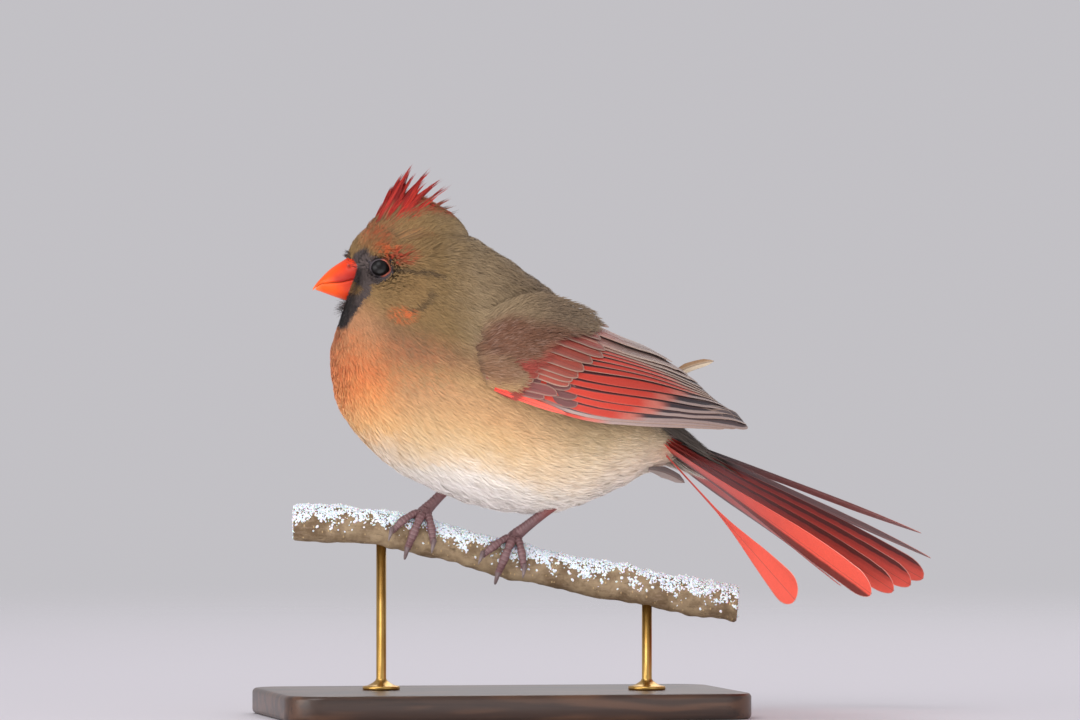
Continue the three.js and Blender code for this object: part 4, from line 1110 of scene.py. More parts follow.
# %% Coverts
# How many, the tips from the first to the last as places (s, t), reach back in s, height, fan, web widths,
# plum share, greyness of the first and the last
COVERTS = [
    {"count": 3, "tips": [(0.288, 0.79), (0.303, 0.86), (0.305, 0.93)], "reach": 0.17, "lift": 0.35,
     "fan": 0.02, "webs": (2.3, 4.4), "plum": 1.0, "grey": (0, 0)},
    {"count": 9,
     "tips": [(0.385, 0.06), (0.365, 0.26), (0.387, 0.37), (0.366, 0.46), (0.336, 0.57), (0.312, 0.665),
              (0.296, 0.715), (0.283, 0.77)],
     "reach": 0.2, "lift": 0.7, "fan": 0.1, "webs": (2.0, 4.4), "plum": 0.0, "grey": (1, 0.1)},
    {"count": 5, "tips": [(0.2, 0.62), (0.19, 0.75), (0.15, 0.86)], "reach": 0.15, "lift": 0.8,
     "fan": 0.04, "webs": (1.9, 3.6), "plum": 0.0, "grey": (0.2, 0)},
    {"count": 2, "tips": [(0.245, 0.865), (0.2, 0.93)], "reach": 0.17, "lift": 0.95,
     "fan": -0.01, "webs": (1.3, 2.4), "plum": 0.8, "grey": (0, 0)},
]
LEADING_EDGE = [(0.02, 0.97), (0.1, 0.99), (0.2, 1.0), (0.27, 0.995)]
COVERT_ROWS = 14
COVERT_TOP = 0.06  # the least t, so that none stands out above the wing
INNER_PER_T = 35  # mm of inner web, at most, for each unit of t


def coverts(side, rng):
    parts = Parts()
    places = iter(cells(sum(tier["count"] for tier in COVERTS) + 1, 5))
    for tier in COVERTS:
        tips = np.array(tier["tips"])
        for k in range(tier["count"]):
            share = k / (tier["count"] - 1)
            tip = through(tips, share) + rng.uniform(-0.004, 0.004, 2)
            s = tip[0] - tier["reach"] * (1 - closer_to_tip(COVERT_ROWS))
            t = np.maximum(tip[1] - tier["fan"] * (tip[0] - s) / tier["reach"], COVERT_TOP)
            webs = tier["webs"][0], min(tier["webs"][1], INNER_PER_T * tip[1])
            lift = tier["lift"] - 0.5 * (1 - (s - s[0]) / (s[-1] - s[0]))
            wing_feather(
                parts, side, s, t, *webs, lift, rng, 0.76, next(places), slope=0.14,
                plum=tier["plum"], greyer=blend(*tier["grey"], share), chance=rng.uniform(0, 1),
            )
    return parts


def leading_edge(side, rng):
    parts = Parts()
    s, t = through(np.array(LEADING_EDGE), np.linspace(0, 1, COVERT_ROWS)).T
    wing_feather(
        parts, side, s, t, 0.8, 1.4, np.full(COVERT_ROWS, 1.0), rng, 0.5, (0, 0, 1, 1),
        slope=0.1, chance=0.8,
    )
    return parts


scarlet = Finish("scarlet_edge", Roughness=0.5, Sheen_Weight=0.1)
scarlet_colour = scarlet.mix(scarlet.value("along"), paint("f03a28"), paint("e0604c"))
barbed(scarlet, scarlet_colour, fringe_strength=0.0)
for side, name in SIDES:
    feather_rng = np.random.default_rng(40 + side)
    flight = flight_feathers(side, feather_rng)
    flight.piece(f"flight_{name}", flight_material, "wing", stands_for=(f"wing_{name}",))
    coverts(side, feather_rng).piece(f"coverts_{name}", covert_material, "wing")
    leading_edge(side, feather_rng).piece(f"wing_edge_{name}", scarlet, "wing")

# %% [markdown]
# The shoulder is covered by soft small feathers, too fine to tell apart, which run on over the roots of the
# coverts. They are tufts again, laid on the wing's own surface: olive at the top like the back, rusty brown
# with a grey gleam in the middle, and brick red below. Feathers of the breast lap over the wing's front.

# %% Shoulder coat
# For t, how far in s the brown feathers reach, how far the small feathers reach in all, and how far those of
# the breast lap over the wing's front edge
BROWN_END = [(-0.05, 0.35), (0.03, 0.35), (0.18, 0.32), (0.33, 0.215), (0.56, 0.165), (0.62, 0.02), (1, 0.0)]
SMALL_END = [(-0.05, 0.35), (0.03, 0.35), (0.18, 0.32), (0.33, 0.215), (0.6, 0.165), (0.8, 0.1), (1, 0.06)]
BREAST_LAP = [
    (0.3, -0.02), (0.45, 0.03), (0.6, 0.08), (0.75, 0.12), (0.86, 0.09), (0.93, 0.0), (1.0, -0.05),
]
SHOULDER_S, SHOULDER_T = (0.004, 0.39, 0.0068), (-0.06, 1.0, 0.021)  # first, end and step of the roots
# For s, the least t of the small feathers, their length and height, and mm that the roots of the small
# feathers and of the lapping ones stand out from the wing
SHOULDER_TOP = [(0.31, -0.1), (0.335, -0.02), (0.36, 0.03)]
SHOULDER_LENGTH, SHOULDER_HEIGHT = [(0.2, 5.6), (0.35, 4.0)], [(0.2, 1.35), (0.35, 0.6)]
SMALL_OUT = [(0, -1.2), (0.06, 0.1), (0.25, 0.6), (0.38, 0.1)]
LAP_OUT = [(0, -0.6), (0.05, 0.8), (0.15, 1.1)]
LAP_SHIFT = 2.0  # mm that the first lapping feathers start before the wing


def shoulder(side, rng):
    s, t = np.meshgrid(np.arange(*SHOULDER_S), np.arange(*SHOULDER_T), indexing="ij")
    s = (s + rng.uniform(-0.5, 0.5, s.shape) * SHOULDER_S[2]).ravel()
    t = (t + rng.uniform(-0.5, 0.5, t.shape) * SHOULDER_T[2]).ravel()
    kept = s + rng.uniform(-0.012, 0.006, len(s)) < np.maximum(keyed(SMALL_END, t), keyed(BREAST_LAP, t))
    kept &= t > keyed(SHOULDER_TOP, s)
    s, t = s[kept], t[kept]
    laps = s + rng.uniform(-0.02, 0.02, len(s)) < keyed(BREAST_LAP, t)
    point, way, normal = wing_frame(side, s, t)
    outside = np.where(laps, keyed(LAP_OUT, s), keyed(SMALL_OUT, s))
    low = ease(t, 0.12, 0.3)
    brick = ease(s - keyed(BROWN_END, t), -0.02, 0.015) * ease(t, 0.3, 0.5)
    marks = markings(point)
    own = {"olive": 1.0, "rust": most(low, marks["rust"]) * (1 - brick), "brick": brick}
    for key, value in own.items():
        marks[key] = np.where(laps, marks[key], value)
    point = point - way * np.where(laps, LAP_SHIFT * (1 - ease(s, 0, 0.08)), 0.0)[:, None]
    parts = Parts()
    tufts(
        parts, (point + normal * outside[:, None], way, normal), 0.005 + 0.98 * columns(s, np.clip(t, 0, 1)),
        marks, rng, yaw=rng.normal(0.04 * -side, 0.08, len(s)), round_off=40.0,
        length=keyed(SHOULDER_LENGTH, s), height=keyed(SHOULDER_HEIGHT, s), spread=0.2, width=0.26,
    )
    return parts


for side, name in SIDES:
    small_feathers = shoulder(side, np.random.default_rng(60 + side))
    small_feathers.piece(f"coat_shoulder_{name}", feathers_finish, "plumage")

# %% [markdown]
# The tail is a fan of twelve feathers on one root, swung to the bird's left. Each is set by the way it
# points, how far it rolls between base and tip, and its length. The outermost on the left hangs apart from
# the rest and shows its face, and the next has a dark outer edge, which is painted shade for its shadowed
# side. All but the two topmost are coral red, with pale rims and, from the third on, a maroon inner web
# that turns almost black at its far edge: partly the web's own colour and partly painted shade where the
# next feather laps over it.

# %% Tail feathers
TAIL_ROOT = np.array([48.1, 0.0, 90.6])
TAIL_START, TAIL_SAG, TAIL_ROWS = 6.0, 2.0, VANE_ROWS + 6
TAIL_WEBS = (5.2, 8.0)  # outer and inner, at the widest
# From left to right: degrees to the left, degrees below level, roll at base and tip, and length
RECTRICES = [
    (45.2, 42.4, 46, 74, 75),
    (41.0, 31.3, 30, 58, 95),
    (33.0, 30.4, 30, 52, 97),
    (23.8, 29.4, 28, 47, 98),
    (13.0, 28.2, 26, 42, 99.5),
    (5.6, 24.4, 14, 22, 99.8),
    (-3.9, 20.2, 8, 16, 97),
    (-4.0, 26.5, 14, 24, 99),
    (-10.0, 28.5, 4, 6, 99),
    (-17.0, 29.3, -4, -8, 98),
    (-24.0, 29.9, -8, -18, 97),
    (-30.3, 30.4, -8, -26, 96),
]
HUNG, DARK_EDGED, TOPMOST = 0, 1, (5, 6)
BROAD = [(0, 0.45), (0.2, 0.7), (0.45, 0.85), (0.7, 0.9), (0.92, 0.88), (1, 0.8)]
HANGING = [(0, 0.1), (0.4, 0.13), (0.52, 0.3), (0.7, 0.66), (0.9, 1.0), (1, 1.0)]
NARROW = [(0, 0.8), (0.25, 0.72), (0.5, 0.5), (0.75, 0.44), (1, 0.3)]


def level_way(yaw):
    """The level way that is so many degrees to the bird's left of straight back."""
    return np.array([math.cos(math.radians(yaw)), -math.sin(math.radians(yaw)), 0])


def tail_line(root, yaw, pitch, roll, length):
    """The shaft of a tail feather, the way it faces, and the shares of its length."""
    share = closer_to_tip(TAIL_ROWS)
    down = np.radians(pitch + TAIL_SAG * (share - 0.5))
    ahead = level_way(yaw) * np.cos(down)[:, None] - UP * np.sin(down)[:, None]
    steps = np.diff(share)[:, None] * length * ahead[1:]
    path = root + np.append([[0, 0, 0]], np.cumsum(steps, axis=0), axis=0)
    across = unit(np.cross(UP, ahead))
    twist = -np.radians(blend(roll[0], roll[1], ease(share, 0.15, 0.85)))[:, None]
    turned = across * np.cos(twist) + np.cross(ahead, across) * np.sin(twist)
    return path, np.cross(ahead, turned), share


def tail_finish():
    made = Finish("tail_feathers", Roughness=0.48, Sheen_Weight=0.12, Sheen_Roughness=0.4)
    top, along, web, dusky, edge = made.values("top", "along", "web", "dusky", "dark_edge")
    uneven = made.noise(made.place(), 260.0, 2.0) - 0.5
    red = made.mix(made.step(along + uneven * 0.2, 0.2, 0.8), paint("d03c2b"), paint("ee5a47"))
    # the maroon inner web is partly its own colour and partly painted shade where the next feather laps over
    # it
    inner = made.step(web + uneven * 1.2, 2.0, 3.8) * dusky * (1.0 - edge)
    colour = made.mix(inner * 0.5, red, paint("a3322a"))
    # painted shade: almost black at the inner web's far edge, and over the outer web of the dark-edged
    # feather
    darkest = made.step(web + uneven * 1.5, 4.1, 5.0) * dusky * (1.0 - edge)
    darkest = darkest + made.step(uneven * 0.6 - web, 0.6, 1.8) * edge
    colour = made.mix(darkest * 0.85, colour, paint("43120f"))
    grey = made.mix(made.step(web.size() + uneven, 0.2, 1.8), paint("a88a84"), paint("8d7470"))
    colour = made.mix(top, colour, made.mix(made.step(web, -0.2, 0.4), grey, paint("8a7470")))
    return barbed(made, colour, paint("e8a294"), 0.3, 0.12 + 0.7 * made.step(along, 0.65, 1.0))


def tail_feathers(rng):
    parts = Parts()
    middle = (len(RECTRICES) - 1) / 2
    for k, ((yaw, pitch, base, tip, length), cell) in enumerate(zip(RECTRICES, cells(len(RECTRICES), 2))):
        fallen = 0.6 - 0.5 * (abs(k - middle) - 0.5) - TAIL_START * math.tan(math.radians(pitch)) * 0.8
        root = TAIL_ROOT + TAIL_START * level_way(yaw) + UP * fallen
        path, face, share = tail_line(root, yaw, pitch, (base, tip), length - TAIL_START)
        hangs = k == HUNG
        widths = HANGING if hangs else NARROW if k in TOPMOST else BROAD
        wide = keyed(widths, share) * tip_shape(share, 0.6 if k in TOPMOST else 0.92)
        vane(
            parts, path, face, TAIL_WEBS[0] * wide, TAIL_WEBS[1] * wide * (0.85 if hangs else 1.0), rng,
            mirror=-1 if k < middle else 1, cell=cell, camber=0.5, splits=1, top=float(k in TOPMOST),
            dusky=0.1 if hangs else 1.0, dark_edge=float(k == DARK_EDGED), chance=rng.uniform(0, 1),
        )
    return parts


tail = tail_feathers(np.random.default_rng(11))
tail.piece("tail_feathers", tail_finish(), "tail", stands_for=("tail",))

# %% [markdown]
# Loose, hair-like coverts hide the roots of the tail feathers: grey brown ones above, which run on from the
# rump, and cream ones below. They are long tufts on a narrow cone round the tail's root, whose near side is
# left bare.

# %% Coverts of the tail
# Distance along the tail, and half the height and width of the cone that the tufts stand on
TAIL_CONE = [(-10, 9.0, 10.0), (0, 6.0, 8.5), (12, 3.6, 8.5), (26, 2.0, 9.5)]
TAIL_CONE_DROP, TAIL_CONE_YAW = math.radians(29), 6
TAIL_COAT = {"count": 1700, "length": (11.0, 15.0), "last_above": 20.0, "last_below": 15.0}


def tail_coverts(rng):
    count = TAIL_COAT["count"]
    turn = rng.uniform(0, 2 * np.pi, count)
    above = np.cos(turn)
    last = np.where(above > 0, TAIL_COAT["last_above"], TAIL_COAT["last_below"])
    bare = (above < 0.6) & ((np.sin(turn) > 0) | (above > -0.4))  # the near side of the tail's root
    cone_far, cone_high, cone_wide = zip(*TAIL_CONE)
    first, long = cone_far[0], cone_far[-1] - cone_far[0]
    far = first + (last - first) * rng.uniform(0, 1, count) ** 1.2
    above, far, turn = above[~bare], far[~bare], turn[~bare]
    count = len(far)
    ahead = level_way(TAIL_CONE_YAW) * math.cos(TAIL_CONE_DROP) - UP * math.sin(TAIL_CONE_DROP)
    side = unit(np.cross(ahead, UP))
    up = np.cross(side, ahead)
    high, wide = np.interp(far, cone_far, cone_high), np.interp(far, cone_far, cone_wide)
    off = up * (above * high)[:, None] + side * (np.sin(turn) * wide)[:, None]
    normal = unit(up * (above / high)[:, None] + side * (np.sin(turn) / wide)[:, None])
    marks = dict(NO_MARKS, under=0.1, rear=1.0, olive=ease(above, -0.2, 0.3), grey=ease(above, -0.15, 0.25))
    marks = {key: np.broadcast_to(value, count) for key, value in marks.items()}
    parts = Parts()
    uv = 0.005 + 0.98 * columns((far - first) / long, turn / (2 * np.pi))
    tufts(
        parts, (TAIL_ROOT + ahead * far[:, None] + off, np.tile(ahead, (count, 1)), normal), uv, marks, rng,
        length=rng.uniform(*TAIL_COAT["length"], count), height=0.9, spread=0.12, width=0.3,
        yaw=rng.normal(0, 0.1, count), round_off=120.0,
    )
    return parts


tail_coverts(np.random.default_rng(17)).piece("coat_tail_coverts", feathers_finish, "tail")

# %% [markdown]
# Two loose feathers break the outline: a small grey one that hangs from the vent, and the tan tip of
# a feather of the far wing, which stands up behind the back.

# %% Loose feathers
# Root, tip, the way it faces, half width and colour
LOOSE = [
    ("vent_feather", (47.0, -7.0, 79.0), (58.5, -9.0, 74.6), (0.1, -1, 0.3), 1.9, "9a8d88", "6d6462"),
    ("tan_feather", (56.0, 6.5, 108.4), (71.5, 8.5, 113.6), (0.1, -1, 0.2), 1.5, "e2cfb4", "a8825f"),
]
for name, root, tip, face, wide, first, second in LOOSE:
    made = Finish(name, Roughness=0.7)
    colour = made.mix(made.step(made.value("web"), -0.6, 0.9), paint(first), paint(second))
    share = np.linspace(0, 1, 16)
    bow = 0.8 * np.sin(share * math.pi)
    path = blend(np.array(root), np.array(tip), share[:, None]) + UP * bow[:, None]
    width = wide * keyed([(0, 0.3), (0.4, 1), (0.8, 0.8), (1, 0.4)], share) * tip_shape(share, 0.75)
    loose = Parts()
    vane(
        loose, path, np.tile(np.array(face, float), (16, 1)), width, width * 1.1, np.random.default_rng(9),
        cell=(0, 0, 1, 1), chance=0.5,
    )
    loose.piece(name, barbed(made, colour, fringe_strength=0.0), "plumage")

# %% [markdown]
# The crest's feathers are too long and slender to be tufts. Each is a handful of strands, which are ribbons
# along a path of six points that taper to its end.

# %% Strands
STRAND_STOPS = np.array([0.0, 0.2, 0.4, 0.6, 0.8, 1.0])
STRAND_WIDTHS = np.array([0.7, 1.0, 1.0, 0.85, 0.6])


def strands(parts, paths, beside, width, uv, redness, **values):
    """Adds ribbons along paths of six points each; beside is the way across each of them."""
    count = len(paths)
    sides = beside[:, None] * (width[:, None] / 2 * STRAND_WIDTHS)[..., None]
    ribbon = np.empty((count, 11, 3))
    ribbon[:, 0:10:2] = paths[:, :5] - sides
    ribbon[:, 1:10:2] = paths[:, :5] + sides
    ribbon[:, 10] = paths[:, 5]
    quads, tris = np.array([[k, k + 1, k + 3, k + 2] for k in (0, 2, 4, 6)]), np.array([[8, 9, 10]])
    starts = np.arange(count)[:, None, None] * 11
    along = np.tile(np.append(np.repeat(STRAND_STOPS[:5], 2), 1.0), count)
    patch = np.repeat(uv, 11, axis=0) + PATCH * columns(0 * along, along)
    shares = {key: np.repeat(value, 11) for key, value in values.items()}
    parts.add(
        ribbon.reshape(-1, 3), quads + starts, tris + starts, patch,
        along=along, redness=redness, **shares,
    )


# %% [markdown]
# The feathers cling together in wisps. They spring side by side from the forehead, sweep back over the crown
# like an opening fan, and gather towards the tips of their wisps, with gaps of sky between. They are brown
# where they spring and crimson beyond.

# %% Crest
# Wisps from front to rear: root x and z, tip x and z, and feathers
WISPS = np.array([
    [-40.8, 157.0, -34.2, 170.6, 20],
    [-40.6, 157.4, -32.2, 172.8, 20],
    [-40.2, 158.0, -30.2, 174.9, 24],
    [-39.8, 158.4, -27.5, 177.3, 46],
    [-39.6, 158.2, -26.4, 174.2, 24],
    [-39.4, 157.4, -21.2, 176.1, 46],
    [-38.8, 157.2, -22.6, 172.4, 26],
    [-38.8, 156.4, -18.2, 172.2, 40],
    [-38.4, 155.6, -21.6, 167.6, 26],
    [-38.6, 155.4, -15.3, 170.3, 36],
    [-38.2, 154.8, -19.4, 166.6, 26],
    [-37.8, 154.4, -14.4, 166.2, 38],
    [-37.0, 153.8, -13.4, 164.0, 38],
    [-36.2, 153.2, -12.9, 161.8, 40],
    [-35.0, 152.6, -11.8, 159.0, 40],
    [-34.0, 151.8, -10.6, 156.0, 36],
])
FEATHER_STRANDS = 9
CREST_HALF = 3.6  # mm, half the width of the crest's root
RIDGE_CLEAR = 1.2  # mm from the middle of the head, beyond which strands lie on the ridge and not in it
# Height, for a place along the head, above which the feathers are red
CREST_RED = [(-46, 160.5), (-38, 159.0), (-32, 160.0), (-25, 160.6), (-19, 162.8), (-12, 165.0)]


def ridge_half(x, z):
    """Half the width of the crest's ridge at places seen from the side."""
    knots = through(CREST_RIDGE, (z - CREST_RIDGE[0, 1]) / (CREST_RIDGE[-1, 1] - CREST_RIDGE[0, 1]))
    middle, reach = (knots[..., 0] + knots[..., 2]) / 2, (knots[..., 2] - knots[..., 0]) / 2
    inside = (1 - ((x - middle) / reach) ** 2).clip(0) ** 0.5
    return knots[..., 4] * inside * (z < CREST_RIDGE[-1, 1])


def crest_finish():
    made = Finish("crest_feathers", Roughness=0.7, Sheen_Weight=0.1, Sheen_Roughness=0.5)
    along, chance, rear, fine = made.values("along", "chance", "rear", "fine")
    red = made.mix(chance, paint("960f0d"), paint("d0301e"))
    brown = made.mix(chance, paint("7d5a38"), paint("a5824f"))
    tip = made.step(along, 0.8, 1.0)
    colour = made.layers(
        brown,
        (made.step(made.value("redness") + (chance - 0.5) * 9.0, -1.0, 2.0), red),
        (rear * made.step(chance, 0.55, 0.8) * 0.6, paint("a8693f")),
        (rear * tip * 0.8, paint("6b5d58")),
        (tip * (1.0 - rear) * 0.6, paint("641212")),
    )
    shade = (0.66 + 0.34 * made.step(along, 0.0, 0.4)) * (0.7 + 0.5 * fine)
    return made.set(Base_Color=made.mix(1.0, colour, made.grey(shade), "MULTIPLY"))


def crest_feathers(rng):
    wisp = np.repeat(WISPS, WISPS[:, 4].astype(int), axis=0)
    count = len(wisp)
    size = (count, FEATHER_STRANDS)
    leads = rng.uniform(0, 1, count) < 0.16
    reach = np.where(leads, rng.uniform(0.9, 1.0, count), rng.uniform(0.36, 0.9, count))
    y = rng.uniform(-1, 1, count)
    root, tip = columns(wisp[:, 0], 0 * y, wisp[:, 1]), columns(wisp[:, 2], 0 * y, wisp[:, 3])
    behind, above = rng.uniform(-0.2, 3.4, count), rng.uniform(-2.0, 0.6, count)
    spring = columns(behind, CREST_HALF * y, above - 0.9 * y**2)
    off = spring[:, None] + rng.normal(0, 0.25, (*size, 3))
    behind, aside, above = (rng.normal(0, scatter, count) for scatter in (0.3, 0.2, 0.3))
    tip_off = columns(behind, 0.4 * y + aside, above)
    tip_off = tip_off[:, None] + rng.normal(0, 0.1, (*size, 3))
    t = (reach[:, None] * rng.uniform(0.84, 1.0, size))[..., None] * STRAND_STOPS
    gather = ease(t, 0.25, 0.92)[..., None]
    bow = np.sin(np.pi * t)[..., None] * np.array([-0.2, 0, 0.5])
    paths = root[:, None, None] + (tip - root)[:, None, None] * t[..., None] + bow
    paths = paths + off[:, :, None] * (1 - gather) + tip_off[:, :, None] * gather
    over = ridge_half(paths[..., 0], paths[..., 2]) * (0.92 + 0.16 * rng.uniform(0, 1, (*size, 1)))
    aside = np.abs(paths[..., 1])
    outside = np.sign(paths[..., 1]) * np.maximum(aside, over)
    paths[..., 1] = np.where(aside > RIDGE_CLEAR, outside, paths[..., 1])
    redness = (paths[..., 2] - keyed(CREST_RED, paths[..., 0])).reshape(-1, 6)
    redness = np.repeat(redness, [2, 2, 2, 2, 2, 1], axis=1)
    paths = turn_head(paths.reshape(-1, 6, 3))
    beside = np.cross(paths[:, 5] - paths[:, 0], [0, 1.0, 0]) + rng.normal(0, 3.0, (len(paths), 3))
    parts = Parts()
    spots = np.arange(len(paths))
    uv = columns(spots % 64 / 64, spots // 64 / (len(paths) / 64 + 1)) * 0.99
    each = {
        "chance": np.repeat(rng.uniform(0, 1, count), FEATHER_STRANDS),
        "fine": rng.uniform(0, 1, len(paths)),
        "rear": np.repeat(ease(wisp[:, 3], 169, 165), FEATHER_STRANDS),
    }
    strands(parts, paths, unit(beside), rng.uniform(0.15, 0.28, len(paths)), uv, redness.ravel(), **each)
    return parts


crest = crest_feathers(np.random.default_rng(5))
crest.piece("crest_feathers", crest_finish(), "crest", stands_for=("crest",))

# %% [markdown]
# The ridge under the wisps gets a skin and a coat of its own. Its small feathers rise steeply on the
# forehead and lie flatter towards the nape.

# %% Coat of the crown
CROWN_DEPTH = 1.2
CROWN_LENGTHS = [(149, 3.0), (156, 4.4), (165, 6.0)]


def unturn(points):
    """Turns points of the head back to where they lie when the bird looks straight on."""
    x, y = points[..., 0] - TURN_PIVOT_X, points[..., 1]
    return columns(
        TURN_PIVOT_X + x * math.cos(HEAD_TURN) + y * math.sin(HEAD_TURN),
        -x * math.sin(HEAD_TURN) + y * math.cos(HEAD_TURN),
        points[..., 2],
    )


crown = Parts()
crown_grid = skin_grid(
    crest_at, CREST_LAST, 24, 60, lambda u: CROWN_DEPTH + 0 * u, lambda u, v: unturn(crest_at(u, v))
)
sheet(crown, *crown_grid)
crown.piece("crown_skin", feathers_finish, "plumage")
u, v = rows_of_roots(crest_at, CREST_LAST, [(0, 0.56), (3, 0.6)], start=0.1)
point, _, normal = surface_frame(crest_at, u, v)
place = unturn(point)
way = crown_way(place[:, 0])
crown_coat = Parts()
tufts(
    crown_coat,
    (lie(crest_at, u, v, np.full(len(u), CROWN_DEPTH)), way, normal),
    0.005 + 0.98 * columns(u / CREST_LAST, (v / (2 * np.pi)) % 1),
    markings(place), np.random.default_rng(8),
    length=keyed(CROWN_LENGTHS, place[:, 2]), height=CROWN_DEPTH, spread=0.14, width=0.2,
    yaw=np.random.default_rng(9).normal(0, 0.1, len(u)), round_off=9.0,
)
crown_coat.piece("coat_crown", feathers_finish, "plumage")

# %% [markdown]
# The bill is two hollow-looking halves that meet along the gape line: an arch above and a keel below. They
# are drawn out from the same stations as the solid bill, only finer. A dark lining between them keeps
# daylight out of the gape; its near-black red is the mouth's red with painted shade. The horn is bright
# orange with a slight gloss, and deep red towards the corner of the mouth.

# %% Bill
# x, height of the culmen, the gape line and the gonys below, and half the width
BILL = np.array([
    [-42.5, 148.0, 140.0, 131.6, 5.9],
    [-47.7, 147.2, 139.4, 132.4, 5.7],
    [-51.1, 145.3, 138.7, 133.4, 4.9],
    [-54.5, 143.0, 138.5, 134.6, 3.7],
    [-57.4, 140.2, 138.2, 135.7, 2.2],
    [-59.2, 138.1, 137.0, 136.3, 0.9],
])
BILL_TIP = [-60.1, 136.8, 136.0, 136.0, 0.3]
BILL_FULLNESS = 0.85
BILL_ROWS, BILL_ARCS = 64, 32
GAPE_GAP, GAPE_LINING = 0.12, (0.9, 0.4)
NOSTRIL = {"x": -48.4, "z": 143.9, "radius": 0.6, "depth": 0.45}


def bill_half(parts, stations, edge, crown, cell, narrower=1.0):
    """Adds one arch over a flat edge; edge and crown say which columns they follow, and any offset."""
    at = through(stations, np.linspace(0, 1, BILL_ROWS))
    angle = np.linspace(0, math.pi, BILL_ARCS)
    rise = np.append(np.sin(angle) ** BILL_FULLNESS, np.zeros(BILL_ARCS - 2))
    across = np.append(np.cos(angle), np.cos(angle[::-1][1:-1]))
    low, high = at[:, edge[0]] + edge[1], at[:, crown[0]] + crown[1]
    x = np.broadcast_to(at[:, :1], (BILL_ROWS, len(rise)))
    y = narrower * at[:, 4:] * across
    z = blend(low[:, None], high[:, None], rise)
    pit = np.exp(-(np.hypot(x - NOSTRIL["x"], z - NOSTRIL["z"]) / NOSTRIL["radius"]) ** 2)
    pit = pit * (np.abs(y) > 1) * (rise > 0)
    y = y - np.sign(y) * pit * NOSTRIL["depth"]
    points = columns(x, y, z)
    ends = points[[0, -1]].mean(axis=1)
    around = len(rise)
    sides, caps = grid_faces(BILL_ROWS, around), end_faces(BILL_ROWS, around)
    if crown[0] < edge[0]:
        sides, caps = sides[:, ::-1], caps[:, ::-1]
    u0, v0, du, dv = cell
    uv = columns(u0 + du * np.linspace(0, 0.9, BILL_ROWS)[:, None], v0 + dv * np.linspace(0, 0.9, around))
    along = np.append(np.repeat(np.linspace(0, 1, BILL_ROWS), around), [0, 1])
    parts.add(
        turn_head(np.concatenate([points.reshape(-1, 3), ends])), sides, caps,
        np.concatenate([uv.reshape(-1, 2), uv[[0, -1], 0]]),
        along=along, rise=np.append(np.tile(rise, BILL_ROWS), [0, 0]), pit=np.append(pit.ravel(), [0, 0]),
    )


def horn(name, near_gape):
    """Orange horn, which reddens towards its base and the gape."""
    made = Finish(name, Roughness=0.45, Coat_Weight=0.1, Coat_Roughness=0.15, IOR=1.35)
    along, rise, pit = made.values("along", "rise", "pit")
    cloud = made.noise(made.place(), 260.0, 3.0) - 0.5
    glow = made.step(along + cloud * 0.3, 0.2, 0.55)
    deep = (1.0 - made.step(rise + cloud * 0.3, 0.05, 0.75)) * (1.0 - made.step(along, 0.3, 0.62)) * near_gape
    colour = made.layers(
        paint("ea3c10"),
        (glow, paint("ff5a12")),
        (made.step(along + cloud * 0.2, 0.72, 1.0) * 0.55, paint("f58a52")),
        (deep, paint("ad1408")),
        # painted shade: the nostril's hollow is painted dark
        (pit, paint("5a1208")),
    )
    grain = made.noise(made.stretched(made.place(), (500.0, 1500.0, 1500.0)), 1.0, 3.0)
    return made.set(Base_Color=colour, Normal=made.bump(grain, 0.05, 0.4))


GAPE, CULMEN, GONYS = 2, 1, 3
upper_bill, lower_bill, lining = Parts(), Parts(), Parts()
upper_rows = np.vstack([BILL, BILL_TIP])
bill_half(upper_bill, upper_rows, (GAPE, GAPE_GAP / 2), (CULMEN, 0), (0.02, 0.02, 0.96, 0.46))
bill_half(lower_bill, BILL, (GAPE, -GAPE_GAP / 2), (GONYS, 0), (0.02, 0.52, 0.96, 0.46))
lining_rows = BILL - [-0.3, 0, 0, 0, 0]
lining_rows[:, CULMEN] = BILL[:, GAPE] + GAPE_LINING[1]
lining_rows[:, GAPE] = BILL[:, GAPE] - GAPE_LINING[1]
bill_half(lining, lining_rows, (GAPE, 0), (CULMEN, 0), (0, 0, 1, 1), GAPE_LINING[0])
upper_bill.piece("bill_upper", horn("bill_upper", 0.9), "bill", stands_for=("beak_upper",))
lower_bill.piece("bill_lower", horn("bill_lower", 0.35), "bill", stands_for=("beak_lower",))
mouth = Finish("mouth", Roughness=0.6)
# painted shade: the lining is a dark red sheet that stands for the shade inside the gape
mouth_shade_red = mouth.mix(mouth.noise(mouth.place(), 700.0), paint("7a1408"), paint("4a0c06"))
lining.piece("mouth_lining", mouth.set(Base_Color=mouth_shade_red), "bill")

# %% [markdown]
# The eye is an almost black ball with a soft gloss. The lids close round it in an almond shape, drawn out to
# the rear. They are bare at the rim, where a salmon line shows at the rear, and their outer part slips under
# the small feathers of the face.

# %% Eyes and lids
# Degrees round the eye from the rear corner upwards, and how far the opening reaches there
OPENING = [(-180, 2.9), (-90, 2.55), (-45, 2.65), (-14, 3.1), (20, 2.8), (90, 2.5), (180, 2.9)]
LID_REACH, LID_BEAD = 4.5, 0.12
LID_CLEAR = 0.14
# Degrees round the eye, and how far out the skin of the face is there
FACE_OUT = [
    (-180, 10.2), (-135, 11.5), (-90, 12.5), (-45, 12.9), (0, 12.2), (45, 10.7), (90, 9.5), (135, 9.3),
    (180, 10.2),
]
LID_RINGS, LID_AROUND = 14, 96


